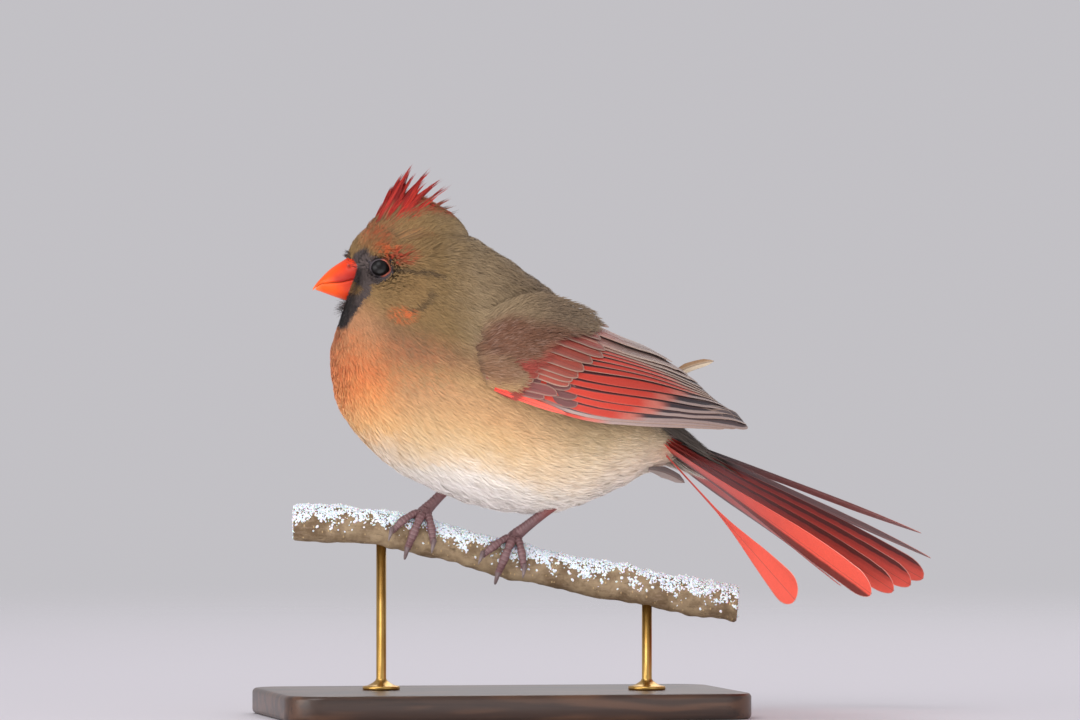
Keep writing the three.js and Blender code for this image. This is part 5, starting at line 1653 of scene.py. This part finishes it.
def ball(parts, centre, radius, rows, around, cell=(0, 0, 1, 1), **values):
    """Adds a sphere, or an ellipsoid where the radius has three values."""
    down, turn = np.meshgrid(
        np.linspace(0.001, math.pi - 0.001, rows), np.arange(around) * 2 * np.pi / around, indexing="ij"
    )
    shape = columns(np.sin(down) * np.cos(turn), np.sin(down) * np.sin(turn), np.cos(down)) * radius
    tips = np.array([[0, 0, 1.0], [0, 0, -1.0]]) * radius
    u0, v0, du, dv = cell
    uv = columns(u0 + du * turn / (2 * np.pi), v0 + dv * down / np.pi).reshape(-1, 2)
    parts.add(
        np.concatenate([shape.reshape(-1, 3), tips]) + centre, grid_faces(rows, around)[:, ::-1],
        end_faces(rows, around)[:, ::-1], np.concatenate([uv, [[u0, v0], [u0, v0 + dv]]]), **values,
    )


def lid(parts, side):
    turn = np.linspace(-180, 180, LID_AROUND, endpoint=False)
    opening = keyed(OPENING, turn)
    share = np.linspace(0, 1, LID_RINGS)[:, None] ** 1.4
    far = blend(opening, LID_REACH, share)
    shell = np.sqrt(((EYE_RADIUS + LID_CLEAR) ** 2 - far**2).clip(0)) + EYE[1]
    bead = LID_BEAD * np.exp(-(((far - opening - 0.22) / 0.22) ** 2))
    out = blend(shell, keyed(FACE_OUT, turn), ease(far, opening + 0.1, LID_REACH - 0.2)) + bead
    edge = np.vstack([far[:1], far, far[-1:]])
    out = np.vstack([out[:1] - 0.6, out, out[-1:] - 1.2])
    angle = np.radians(turn)
    points = columns(EYE[0] + edge * np.cos(angle), side * out, EYE[2] + edge * np.sin(angle))
    rows = LID_RINGS + 2
    faces = grid_faces(rows, LID_AROUND)
    # The inner side joins the last ring to the first
    seam = np.stack([np.arange(LID_AROUND), np.roll(np.arange(LID_AROUND), -1)], axis=-1)
    seam = np.concatenate([(rows - 1) * LID_AROUND + seam, seam[:, ::-1]], axis=1)
    faces = np.concatenate([faces, seam])
    if side > 0:
        faces = faces[:, ::-1]
    from_rim = (edge - opening).ravel()
    v0 = 0.0 if side < 0 else 0.5
    uv = columns(0.98 * (turn + 180) / 360, v0 + 0.48 * np.linspace(0, 1, rows)[:, None]).reshape(-1, 2)
    parts.add(
        turn_head(points).reshape(-1, 3), faces, uv=uv, rim=from_rim,
        rear=np.broadcast_to(np.cos(angle), edge.shape).ravel(),
        low=np.broadcast_to(-np.sin(angle), edge.shape).ravel(),
    )


eye_finish = Finish("eye", Roughness=0.34, Coat_Weight=0.1, Coat_Roughness=0.2, IOR=1.3)
iris = eye_finish.noise(eye_finish.place(), 420.0, 2.0)
eye_finish.set(Base_Color=eye_finish.mix(iris, paint("050405"), paint("120c0b")))
lid_finish = Finish("lids", Roughness=0.6)
rim, rear, low = lid_finish.values("rim", "rear", "low")
grain = lid_finish.noise(lid_finish.place(), 2600.0, 2.0)
salmon = (1.0 - lid_finish.step(rim, 0.35, 0.6)) * lid_finish.step(rear + 0.25 * low.size(), 0.2, 0.75)
brow = lid_finish.step(0.0 - low, 0.55, 0.9) * lid_finish.step(rim, 0.5, 1.1)
lid_colour = lid_finish.layers(
    paint("2c2527"), (grain, paint("5a5055")), (salmon * 0.85, paint("d8735c")), (brow, paint("8a2a14"))
)
lid_finish.set(Base_Color=lid_colour, Normal=lid_finish.bump(grain, 0.2, 0.7))

lids = Parts()
for side, name in SIDES:
    eyeball = Parts()
    ball(eyeball, turn_head(EYE * [1, side, 1]), EYE_RADIUS, 28, 48)
    eyeball.piece(f"eyeball_{name}", eye_finish, "eye", stands_for=(f"eye_{name}",))
    lid(lids, side)
lids.piece("eyelids", lid_finish, "plumage")

# %% [markdown]
# Fine black bristles stand round the base of the bill. Short ones lie forward over the nostrils, and long
# loose ones hang below the chin.

# %% Bristles round the bill
# How many on each side, station along the head, degrees round it from the back, degrees that they rise from
# straight ahead, and length
BRISTLES = [
    (26, (0.10, 0.50), (0, 34), (35, 75), (1.2, 2.6)),
    (30, (0.05, 0.40), (30, 75), (0, 35), (1.2, 2.2)),
    (44, (0.05, 0.75), (140, 180), (-34, 4), (2.2, 6.0)),
]


def bristles(rng):
    parts = Parts()
    for count, stations, turns, rises, lengths in BRISTLES:
        for side in (LEFT, RIGHT):
            u = rng.uniform(*stations, count)
            v = side * np.radians(rng.uniform(*turns, count))
            point, _, normal = surface_frame(body_at, u, v)
            rise = np.radians(rng.uniform(*rises, count))
            ahead = columns(-np.cos(rise), 0.35 * side * rng.uniform(0, 1, count), np.sin(rise))
            ahead = turn_way(ahead)
            out = unit(normal - ahead * (normal * ahead).sum(axis=1, keepdims=True))
            marks = {key: np.zeros(count) for key in NO_MARKS} | {"mask": np.ones(count)}
            uv = 0.005 + 0.98 * columns(u / BODY_LAST, (v / (2 * np.pi)) % 1)
            tufts(
                parts, (point - 0.3 * normal, ahead, out), uv, marks, rng, barbs=3,
                length=rng.uniform(*lengths, count), height=0.3, spread=0.22, width=0.13, round_off=40.0,
            )
    return parts


bristles(np.random.default_rng(21)).piece("coat_bristles", feathers_finish, "plumage")

# %% [markdown]
# The branch is a tube along a curve that sags to the right. Angles round it run from 0, on the side that
# faces the camera, to 90 on top. Feet, claws and snow are all placed by distance along it, by that angle and
# by distance from its middle.

# %% The form of the branch
# Distance along it from the middle of the bird, and height of its middle
PERCH_RISE = [
    (-66, 61.8), (-48, 61.0), (-32, 59.0), (-19, 55.8), (-4, 51.6), (6, 49.1), (19, 46.2), (32, 43.6),
    (48, 40.6), (64, 37.6), (76, 35.8),
]
PERCH_RADIUS = 5.8
PERCH_YAW = math.radians(-10)
PERCH_LEVEL = np.array([math.cos(PERCH_YAW), math.sin(PERCH_YAW), 0])
KNOT = {"along": 40, "angle": 60, "radius": 2.6}


def perch_height(along):
    share = keyed([(x, i / (len(PERCH_RISE) - 1)) for i, (x, _) in enumerate(PERCH_RISE)], along)
    return through(np.array([[x, 0, z] for x, z in PERCH_RISE], float), share)[..., 2]


def round_perch(along, angle, out):
    """A place round the branch, and the way straight out from its middle."""
    along, angle, out = np.broadcast_arrays(*[np.asarray(value, float) for value in (along, angle, out)])
    rise = perch_height(along + 1) - perch_height(along - 1)
    ahead = unit(2 * PERCH_LEVEL + UP * rise[..., None])
    left = unit(np.cross(ahead, UP))
    up = np.cross(left, ahead)
    turn = np.radians(angle)[..., None]
    way = left * np.cos(turn) + up * np.sin(turn)
    return PERCH_LEVEL * along[..., None] + UP * perch_height(along)[..., None] + way * out[..., None], way


# %% [markdown]
# Legs and toes are tubes whose upper side carries scutes, a row of plates that each lap over the next
# like tiles. Pads swell under the toes between the joints. The claws are smooth, curved horns.

# %% Feet
FEET = {
    "left": {"along": 3.0, "angle": 74, "ankle": (19, -9, 70)},
    "right": {"along": -26.0, "angle": 76, "ankle": (-12, 5.5, 77)},
}
SHANK_RADII = [2.1, 1.75, 1.6, 1.6, 1.76, 2.0]
SHANK_FOOT = {"round": 10, "lift": 2.4}
PALM = {"lift": 1.6, "radius": 2.5, "round": 6}
TOE_PADS = [1.15, 1.1, 0.88, 1.1, 0.85, 0.8]
TOE_ARCH = 0.9
# The way along the branch at the tip, the angle that the toe turns round it, radius, and the claw
TOES = [(-8.5, 78, 1.25, 5), (-2.5, 118, 1.35, 6.5), (5, 84, 1.25, 5), (2, -105, 1.45, 7)]
CLAW_RADII = [0.85, 0.7, 0.45, 0.12]
SCUTE = {"pitch": 1.15, "lip": 0.16}
TUBE_AROUND = 18


def tube(parts, path, out, radii, cell, scutes=0.0, **values):
    """Adds a round limb. out is the way its upper side faces, where the scutes lie."""
    way = unit(np.gradient(path, axis=0))
    out = unit(out - way * (out * way).sum(axis=1, keepdims=True))
    side = np.cross(way, out)
    turn = np.arange(TUBE_AROUND) * 2 * np.pi / TUBE_AROUND
    far = np.append(0, np.linalg.norm(np.diff(path, axis=0), axis=1).cumsum())
    plate = far / SCUTE["pitch"] % 1
    top = ease(np.cos(turn), -0.2, 0.5)
    radius = radii[:, None] + scutes * SCUTE["lip"] * (plate[:, None] - 0.5) * top
    ring = path[:, None] + radius[..., None] * (
        np.cos(turn)[None, :, None] * out[:, None] + np.sin(turn)[None, :, None] * side[:, None]
    )
    rows = len(path)
    points = np.concatenate([ring.reshape(-1, 3), path[:1], path[-1:] + way[-1:] * radii[-1] * 0.5])
    u0, v0, du, dv = cell
    uv = columns(u0 + du * 0.95 * (far / far[-1])[:, None], v0 + dv * 0.9 * turn / (2 * np.pi)).reshape(-1, 2)
    seam = np.append(np.repeat(plate, TUBE_AROUND), [0.5, 0.5])
    tops = np.append(np.tile(top, rows), [0.5, 0.5])
    along = np.append(np.repeat(far / far[-1], TUBE_AROUND), [0, 1])
    faces = grid_faces(rows, TUBE_AROUND), end_faces(rows, TUBE_AROUND)
    uv = np.concatenate([uv, uv[:1], uv[-1:]])
    parts.add(points, *faces, uv, plate=seam, top=tops, along=along, **values)


def toe(parts, foot, drift, wrap, thick, claw, cell):
    share = np.linspace(0, 1, 84)
    ring = PERCH_RADIUS + thick * 0.85
    arch = TOE_ARCH * np.sin(math.pi * np.minimum(1, share * 1.15))
    out = blend(PERCH_RADIUS + PALM["lift"], ring, np.minimum(1, 2 * share)) + arch
    path, way = round_perch(foot["along"] + drift * share**0.8, foot["angle"] - wrap * share, out)
    pads = thick * evenly(TOE_PADS, share)
    u0, v0, du, dv = cell
    tube(parts, path, way, pads, (u0, v0, du * 0.7, dv), scutes=1.0, claw=0.0, high=0.0)
    share = np.linspace(0, 1, 26)
    path, way = round_perch(
        foot["along"] + drift * (1 + 0.06 * share),
        foot["angle"] - wrap + math.copysign(1, wrap) * (8 - 34 * share * (claw / 6)),
        ring + 0.6 + 1.9 * np.sin(share * 2.2) - 0.4 * share,
    )
    tube(parts, path, way, evenly(CLAW_RADII, share), (u0 + du * 0.72, v0, du * 0.26, dv), claw=1.0, high=0.0)


def leg(foot):
    parts = Parts()
    along, angle, ankle = foot["along"], foot["angle"], np.array(foot["ankle"], float)
    low, _ = round_perch(along, angle + SHANK_FOOT["round"], PERCH_RADIUS + SHANK_FOOT["lift"])
    share = np.linspace(0, 1, 90)
    path = low + (ankle - low) * share[:, None]
    front = np.tile(UP * 0.6 - PERCH_LEVEL, (len(path), 1))
    high = np.append(np.repeat(share, TUBE_AROUND), [0, 1])
    tube(parts, path, front, evenly(SHANK_RADII, share), (0, 0, 1, 0.19), scutes=1.5, claw=0.0, high=high)
    centre, _ = round_perch(along, angle + PALM["round"], PERCH_RADIUS + PALM["lift"] + 0.2)
    values = {"plate": 0.5, "top": 0.3, "along": 0.5, "claw": 0.0, "high": 0.0}
    ball(parts, centre, PALM["radius"], 16, 24, (0, 0.96, 0.2, 0.04), **values)
    for k, shape in enumerate(TOES):
        toe(parts, foot, *shape, (0, 0.2 + 0.19 * k, 1, 0.18))
    return parts


scaly = Finish("scaly_skin", Roughness=0.5, Coat_Weight=0.15, Coat_Roughness=0.35)
plate, top, claw, high, along = scaly.values("plate", "top", "claw", "high", "along")
cloud = scaly.noise(scaly.place(), 700.0, 3.0)
pebbles = scaly.node(
    "ShaderNodeTexVoronoi", {"feature": "DISTANCE_TO_EDGE"},
    {"Vector": scaly.place(), "Scale": 2200.0}, "Distance",
)
skin_colour = scaly.layers(
    paint("5c3c3c"),
    (cloud, paint("805e60")),
    (scaly.step(high, 0.3, 0.9), paint("8c4640")),
    ((1.0 - scaly.step(plate, 0.06, 0.2)) * top * 0.65, paint("3c2424")),
    # painted highlight: on the upper side each plate pales towards its raised lip
    (scaly.step(plate, 0.45, 0.95) * top * 0.4, paint("957678")),
    (claw, scaly.mix(scaly.step(along, 0.2, 1.0), paint("6a5757"), paint("8f8280"))),
)
relief = scaly.step(pebbles, 0.0, 0.25) * (1.0 - top) * (1.0 - claw)
scaly.set(Base_Color=skin_colour, Normal=scaly.bump(relief + cloud * 0.4, 0.15, 0.6))
for name, foot in FEET.items():
    leg(foot).piece(f"feet_{name}", scaly, "leg", stands_for=(f"leg_{name}", f"foot_{name}"))

# %% [markdown]
# The bark is smooth young bark: low swellings, fine cracks along it, and small pale lenticels across it.
# The swellings are in the mesh, where they show in the outline, and the rest is in the material. Both ends
# are sawn, with a pale wood face.

# %% Branch
BARK_ROWS, BARK_AROUND = 300, 72
BARK_SWELL, BARK_ROUGH = 0.05, 0.22
SAWN_BEVEL, SAWN_RINGS = 0.4, np.array([0.33, 0.66, 0.93])  # the rings are shares of the radius
KNOT_HIGH, KNOT_PIT, KNOT_PIT_RADIUS = 2.0, 0.9, 0.9


def ripple(along, turn, rng, waves, low, high):
    """Soft irregular relief round a tube, from waves of random direction."""
    total = 0.0
    for _ in range(waves):
        around, pace, phase = rng.integers(-6, 7), rng.uniform(low, high), rng.uniform(0, 2 * np.pi)
        total = total + np.sin(along * pace + around * turn + phase) / waves**0.5
    return total


def branch():
    bark_rng = np.random.default_rng(33)
    first, last = PERCH_RISE[0][0], PERCH_RISE[-1][0]
    along = np.linspace(first, last, BARK_ROWS)[:, None]
    turn = (np.arange(BARK_AROUND) * 360 / BARK_AROUND)[None, :]
    radius = PERCH_RADIUS * (1 + BARK_SWELL * np.sin(along * 0.21 + 1)) - 0.15
    radius = radius + BARK_ROUGH * ripple(along, np.radians(turn), bark_rng, 14, 0.15, 1.6)
    off = np.hypot((along - KNOT["along"]), np.radians(turn - KNOT["angle"]) * PERCH_RADIUS)
    radius = radius + KNOT_HIGH * np.exp(-((off / KNOT["radius"]) ** 2))
    radius = radius - KNOT_PIT * np.exp(-((off / KNOT_PIT_RADIUS) ** 2))
    end = np.minimum(along - first, last - along)
    radius = radius - (SAWN_BEVEL - end).clip(0)
    across = np.concatenate([SAWN_RINGS, np.ones(BARK_ROWS), SAWN_RINGS[::-1]])
    row = np.arange(len(across)).clip(3, BARK_ROWS + 2) - 3
    points, _ = round_perch(along[row], turn, radius[row] * across[:, None])
    rows = len(points)
    middle = points[[0, -1]].mean(axis=1)
    uv = columns(np.linspace(0, 1, rows)[:, None], turn / 360).reshape(-1, 2)
    parts = Parts()
    parts.add(
        np.concatenate([points.reshape(-1, 3), middle]), grid_faces(rows, BARK_AROUND)[:, ::-1],
        end_faces(rows, BARK_AROUND)[:, ::-1], np.concatenate([uv, uv[:1], uv[-1:]]),
        cap=np.append(np.repeat(across < 1, BARK_AROUND), [1, 1]),
        across=np.append(np.repeat(across, BARK_AROUND), [0, 0]),
    )
    return parts


bark = Finish("bark", Roughness=0.8)
place = bark.place()
patches = bark.noise(place, 130.0, 5.0, 0.65)
lengthwise = bark.noise(bark.stretched(place, (160.0, 900.0, 900.0)), 1.0, 5.0, 0.65)
dots = bark.node(
    "ShaderNodeTexVoronoi", {"feature": "F1"},
    {"Vector": bark.stretched(place, (620.0, 330.0, 330.0)), "Scale": 1.0}, "Distance",
)
lenticels = 1.0 - bark.step(dots, 0.1, 0.2)
across, cap = bark.values("across", "cap")
year_rings = (across * 60.0 + bark.noise(place, 500.0) * 3.0).sine()
wood = bark.mix(bark.step(year_rings, -1.0, 1.0), paint("b8966a"), paint("d2b488"))
bark_colour = bark.layers(
    paint("6e583f"),
    (bark.step(patches, 0.36, 0.66), paint("a08a6c")),
    (bark.step(lengthwise, 0.5, 0.8) * 0.7, paint("a08a74")),
    ((1.0 - bark.step(lengthwise, 0.25, 0.42)) * 0.8, paint("3b2b1d")),
    (lenticels * 0.75, paint("c9ab7e")),
    (cap, bark.mix(bark.step(across, 0.86, 0.9), wood, paint("6b5236"))),
)
bark_height = lengthwise + patches * 0.8 + lenticels * 0.3
bark.set(Base_Color=bark_colour, Normal=bark.bump(bark_height, 0.5, 0.7))
branch_piece = branch().piece("branch", bark, "bark", stands_for=("perch",))

# %% [markdown]
# Snow lies on the upper side of the branch as loose grains, in patches where it has drifted and thin
# elsewhere. Geometry Nodes scatters the grains over the bark: noise says where they gather, and the slope
# of the bark says how many stay.

# %% Snow
GRAIN = 0.82  # mm across
SNOW_TOP, SNOW_SIDE = 4.7, 0.45  # grains on a square millimetre, at most, in drifts and elsewhere


class Nodes:
    """A tree of geometry nodes, and the values that a modifier gives to its inputs."""

    def __init__(self, name):
        self.tree = bpy.data.node_groups.new(name, "GeometryNodeTree")
        self.tree.interface.new_socket("Geometry", in_out="INPUT", socket_type="NodeSocketGeometry")
        self.tree.interface.new_socket("Geometry", in_out="OUTPUT", socket_type="NodeSocketGeometry")
        self.given = {}

    def number(self, name, value, kind="NodeSocketFloat"):
        """Adds a named input, and keeps its value under its identifier."""
        socket = self.tree.interface.new_socket(name, in_out="INPUT", socket_type=kind)
        self.given[socket.identifier] = value

    def node(self, kind, settings=None, inputs=None, output=0):
        made = self.tree.nodes.new(kind)
        for key, value in (settings or {}).items():
            setattr(made, key, value)
        for key, value in (inputs or {}).items():
            if isinstance(value, bpy.types.NodeSocket):
                self.tree.links.new(value, made.inputs[key])
            else:
                made.inputs[key].default_value = value
        return made.outputs[output]

    def maths(self, operation, first, second):
        return self.node("ShaderNodeMath", {"operation": operation}, {0: first, 1: second})

    def between(self, low, high, seed):
        """A random number, or a random vector, for each point."""
        inputs = {"Min": low, "Max": high, "Seed": seed}
        if isinstance(low, tuple):
            return self.node("FunctionNodeRandomValue", {"data_type": "FLOAT_VECTOR"}, inputs, 0)
        return self.node("FunctionNodeRandomValue", None, inputs, 1)

    def times(self, vector, factor):
        return self.node("ShaderNodeVectorMath", {"operation": "SCALE"}, {0: vector, "Scale": factor})


def snow_tree(finish):
    nodes = Nodes("snow")
    nodes.number("Seed", 4, "NodeSocketInt")
    nodes.number("Grain", GRAIN * MM)
    nodes.number("Drift density", SNOW_TOP / MM**2)
    nodes.number("Thin density", SNOW_SIDE / MM**2)
    entry = {socket.name: socket for socket in nodes.tree.nodes.new("NodeGroupInput").outputs}
    normal = nodes.node("GeometryNodeInputNormal")
    upward = nodes.node("ShaderNodeSeparateXYZ", None, {0: normal}, "Z")
    place = nodes.node("GeometryNodeInputPosition")
    noise = {"Vector": place, "Scale": 230.0, "Detail": 4.0, "Roughness": 0.6}
    drifts = nodes.node("ShaderNodeTexNoise", None, noise)
    level = nodes.node(
        "ShaderNodeMapRange", None, {"Value": upward, "From Min": -0.6, "From Max": 0.75}, "Result"
    )
    gather = nodes.maths("ADD", drifts, nodes.maths("MULTIPLY", level, 0.42))
    drifted = nodes.node(
        "ShaderNodeMapRange", {"interpolation_type": "SMOOTHSTEP"},
        {"Value": gather, "From Min": 0.72, "From Max": 0.88}, "Result",
    )
    density = nodes.maths("MULTIPLY", entry["Drift density"], drifted)
    density = nodes.maths("ADD", density, nodes.maths("MULTIPLY", entry["Thin density"], level))
    density = nodes.maths("MULTIPLY", density, nodes.maths("GREATER_THAN", upward, -0.5))
    scatter = nodes.node(
        "GeometryNodeDistributePointsOnFaces", None,
        {"Mesh": entry["Geometry"], "Density": density, "Seed": entry["Seed"]}, "Points",
    )
    pile = nodes.maths("MULTIPLY", drifted, level)
    depth = nodes.maths("MULTIPLY", nodes.between(-0.1, 1.0, 2), pile)
    depth = nodes.maths("MULTIPLY", depth, entry["Grain"])
    upwards = nodes.node("ShaderNodeCombineXYZ", None, {"Z": 1.0})
    offset = nodes.times(upwards, nodes.maths("MULTIPLY", depth, 2.0))
    points = nodes.node("GeometryNodeSetPosition", None, {"Geometry": scatter, "Offset": offset})
    grain = nodes.node("GeometryNodeMeshIcoSphere", None, {"Radius": 0.5, "Subdivisions": 1})
    grain = nodes.node("GeometryNodeSetShadeSmooth", None, {"Geometry": grain, "Shade Smooth": False})
    turn = nodes.between((0.0, 0.0, 0.0), (6.28, 6.28, 6.28), 5)
    size = nodes.maths("MULTIPLY", nodes.between(0.45, 1.5, 9), entry["Grain"])
    size = nodes.times(nodes.between((0.5, 0.5, 0.4), (1.4, 1.4, 1.0), 12), size)
    grains = {"Points": points, "Instance": grain, "Rotation": turn, "Scale": size}
    grains = nodes.node("GeometryNodeInstanceOnPoints", None, grains)
    real = nodes.node("GeometryNodeRealizeInstances", None, {"Geometry": grains})
    painted = nodes.node("GeometryNodeSetMaterial", None, {"Geometry": real, "Material": finish.material})
    leave = nodes.tree.nodes.new("NodeGroupOutput")
    nodes.tree.links.new(painted, leave.inputs["Geometry"])
    return nodes


snow_finish = Finish("snow", Roughness=0.55, Subsurface_Weight=0.3, Subsurface_Scale=0.0006)
sparkle = snow_finish.noise(snow_finish.place(), 900.0, 2.0)
snow_finish.set(Base_Color=snow_finish.mix(sparkle, paint("dfe5f2"), paint("ffffff")))


def grow(source, nodes, name):
    """Runs a tree of geometry nodes on an object and gives its result as a plain mesh object."""
    modifier = source.modifiers.new(name, "NODES")
    modifier.node_group = nodes.tree
    for identifier, value in nodes.given.items():
        modifier[identifier] = value
    evaluated = source.evaluated_get(bpy.context.evaluated_depsgraph_get())
    mesh = bpy.data.meshes.new_from_object(evaluated)
    source.modifiers.remove(modifier)
    mesh.name = name
    made = bpy.data.objects.new(name, mesh)
    bpy.context.scene.collection.objects.link(made)
    return made


snow = grow(branch_piece, snow_tree(snow_finish), "snow_grains")
print("snow", len(snow.data.polygons), "faces in", len(snow.data.polygons) // 20, "grains")
dress(snow)

# %% [markdown]
# The stand is plain: a dark, satin-varnished wooden base with softly rounded edges, and two slim brass rods
# on turned feet that carry the branch.

# %% Stand
BASE = {"length": 150, "width": 92, "height": 8.3, "corner": 12, "bevel": 1.5}
BASE_MIDDLE = BASE["corner"] * 0.98  # how far in the outline shrinks for the flat top and bottom
ROD = {"radius": 1.6, "along": (-38, 47), "into_bark": 4.9}
# The rod's foot: distance out and height, in mm
ROD_PROFILE = [
    (5.7, 0), (6, 0.3), (6, 1.1), (5.8, 1.3), (4.6, 1.45), (3.6, 1.9), (2.6, 2.5), (1.9, 3.1), (1.6, 3.7),
]
CORNER_STEPS, BEVEL_STEPS, LATHE_SIDES = 12, 6, 48


def rounded_outline(inset):
    """Points round a rectangle with round corners."""
    corners = []
    radius = BASE["corner"] - inset
    middle = np.array([BASE["length"], BASE["width"]]) / 2 - BASE["corner"]
    for k, signs in enumerate(((1, 1), (-1, 1), (-1, -1), (1, -1))):
        angle = np.radians(90 * k + np.linspace(0, 90, CORNER_STEPS))
        corners.append(middle * signs + radius * columns(np.cos(angle), np.sin(angle)))
    return np.concatenate(corners)


def stacked(parts, rings):
    """Closes a stack of rings, from the lowest up, with a flat face at each end."""
    size = rings.shape[:2]
    points = np.concatenate([rings.reshape(-1, 3), rings[[0, -1]].mean(axis=1)])
    low, high = points.min(axis=0), points.max(axis=0)
    uv = ((points - low) / (high - low).max())[:, :2] * 0.9 + 0.05
    parts.add(points, grid_faces(*size), end_faces(*size), uv)


base = Parts()
quarter = np.linspace(0, math.pi / 2, BEVEL_STEPS)
inset = BASE["bevel"] * (1 - np.sin(quarter))
rise = BASE["bevel"] * (1 - np.cos(quarter))
insets = np.concatenate([[BASE_MIDDLE], inset, inset[::-1], [BASE_MIDDLE]])
heights = np.concatenate([[0], rise, BASE["height"] - rise[::-1], [BASE["height"]]])
stacked(base, np.stack([columns(*rounded_outline(i).T, h) for i, h in zip(insets, heights)]))
walnut = Finish("walnut", Roughness=0.38, Coat_Weight=0.25, Coat_Roughness=0.25)
place = walnut.place()
fibres = walnut.noise(walnut.stretched(place, (18.0, 420.0, 300.0)), 1.0, 6.0, 0.6)
figure = walnut.noise(walnut.stretched(place, (9.0, 60.0, 60.0)), 1.0, 3.0, 0.5)
bands = ((figure * 34.0) + fibres * 2.0).sine()
wood_colour = walnut.layers(
    paint("3c2619"),
    (walnut.step(bands, -1.0, 1.0), paint("5c3d29")),
    ((1.0 - walnut.step(fibres, 0.3, 0.5)) * 0.6, paint("22140d")),
)
walnut.set(Base_Color=wood_colour, Normal=walnut.bump(fibres, 0.08, 0.5))
base.piece("stand_wood", walnut, "stand_wood", stands_for=("stand_base",))

rods = Parts()
for along in ROD["along"]:
    foot_at, _ = round_perch(along, 0.0, 0.0)
    top = foot_at[2] - ROD["into_bark"] - BASE["height"]
    profile = np.array(ROD_PROFILE + [(ROD["radius"], top)], float)
    turn = np.arange(LATHE_SIDES) * 2 * np.pi / LATHE_SIDES
    rings = columns(
        foot_at[0] + profile[:, :1] * np.cos(turn), foot_at[1] + profile[:, :1] * np.sin(turn),
        BASE["height"] + profile[:, 1:],
    )
    stacked(rods, rings)
brass = Finish("brass", Metallic=1.0, Roughness=0.3)
tarnish = brass.noise(brass.place(), 120.0, 4.0)
brushed = brass.noise(brass.stretched(brass.place(), (3000.0, 3000.0, 60.0)), 1.0, 2.0)
brass.set(
    Base_Color=brass.mix(brass.step(tarnish, 0.35, 0.7), paint("c9a25c"), paint("b58c48")),
    Roughness=0.26 + tarnish * 0.12, Normal=brass.bump(brushed, 0.02, 0.3),
)
rods.piece("stand_brass", brass, "stand_rod", stands_for=("stand_rod_front", "stand_rod_rear"))

# %% [markdown]
# Soft, shadowless light suits plumage, as on an overcast day: a pale sky all round, and large lamps that only
# add a little shape. The floor fades out into the sky, so that no horizon crosses the picture.

# %% Light and floor
SKY = paint("d9d7dc")
SKY_STRENGTH = 0.78
# Name, place, what it points at and size in metres, power in watts
LAMPS = [
    ("key", (-0.9, -1.3, 1.6), (0, 0, 0.1), 1.4, 15),
    ("low_left", (-1.5, -0.7, 0.15), (0, 0, 0.1), 1.3, 14),
    ("low_right", (0.8, -1.4, 0.12), (0, 0, 0.1), 1.3, 3),
    ("back", (0.6, 1.5, 1.3), (0, 0, 0.1), 1.4, 10),
    ("snow_glow", (-0.02, -0.29, 0.002), (-0.02, -0.2899, 1.0), 0.44, 1.05),
]
FLOOR_RADIUS, FLOOR_FADE = 3.0, (0.35, 1.8)

world = bpy.data.worlds.new("sky")
world.use_nodes = True
world.node_tree.nodes["Background"].inputs["Color"].default_value = SKY
world.node_tree.nodes["Background"].inputs["Strength"].default_value = SKY_STRENGTH
bpy.context.scene.world = world
bpy.context.scene.view_settings.view_transform = "Standard"
for name, place, target, size, power in LAMPS:
    lamp = bpy.data.lights.new(name, "AREA")
    lamp.shape, lamp.size, lamp.energy = "DISK", size, power
    lamp_object = bpy.data.objects.new(name, lamp)
    lamp_object.location = place
    lamp_object.rotation_euler = (Vector(target) - Vector(place)).to_track_quat("-Z", "Y").to_euler()
    bpy.context.scene.collection.objects.link(lamp_object)

floor_finish = Finish("floor", Base_Color=paint("d6d2d8"), Roughness=0.8)
clear = floor_finish.node("ShaderNodeBsdfTransparent")
far = floor_finish.node("ShaderNodeVectorMath", {"operation": "LENGTH"}, {0: floor_finish.place()}, "Value")
fade = floor_finish.step(far, *FLOOR_FADE)
faded = floor_finish.node(
    "ShaderNodeMixShader", None, {0: fade, 1: Wire(floor_finish, floor_finish.shader.outputs[0]), 2: clear}
)
floor_finish.feed(floor_finish.tree.nodes["Material Output"], {"Surface": faded})
bpy.ops.mesh.primitive_circle_add(vertices=128, radius=FLOOR_RADIUS, fill_type="NGON")
floor = bpy.context.object
floor.name = "floor"
floor.data.materials.append(floor_finish.material)
floor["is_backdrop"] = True

# %% [markdown]
# The finished model's box is set beside the solids' box. Soft feathers stand proud of the solids.

# %% Sizes, and the end
finished_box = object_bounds()
boxes = {"solids": solid_box, "finished": finished_box}
for name, box in boxes.items():
    print(name, [[round(value * 1000, 1) for value in corner] for corner in box])
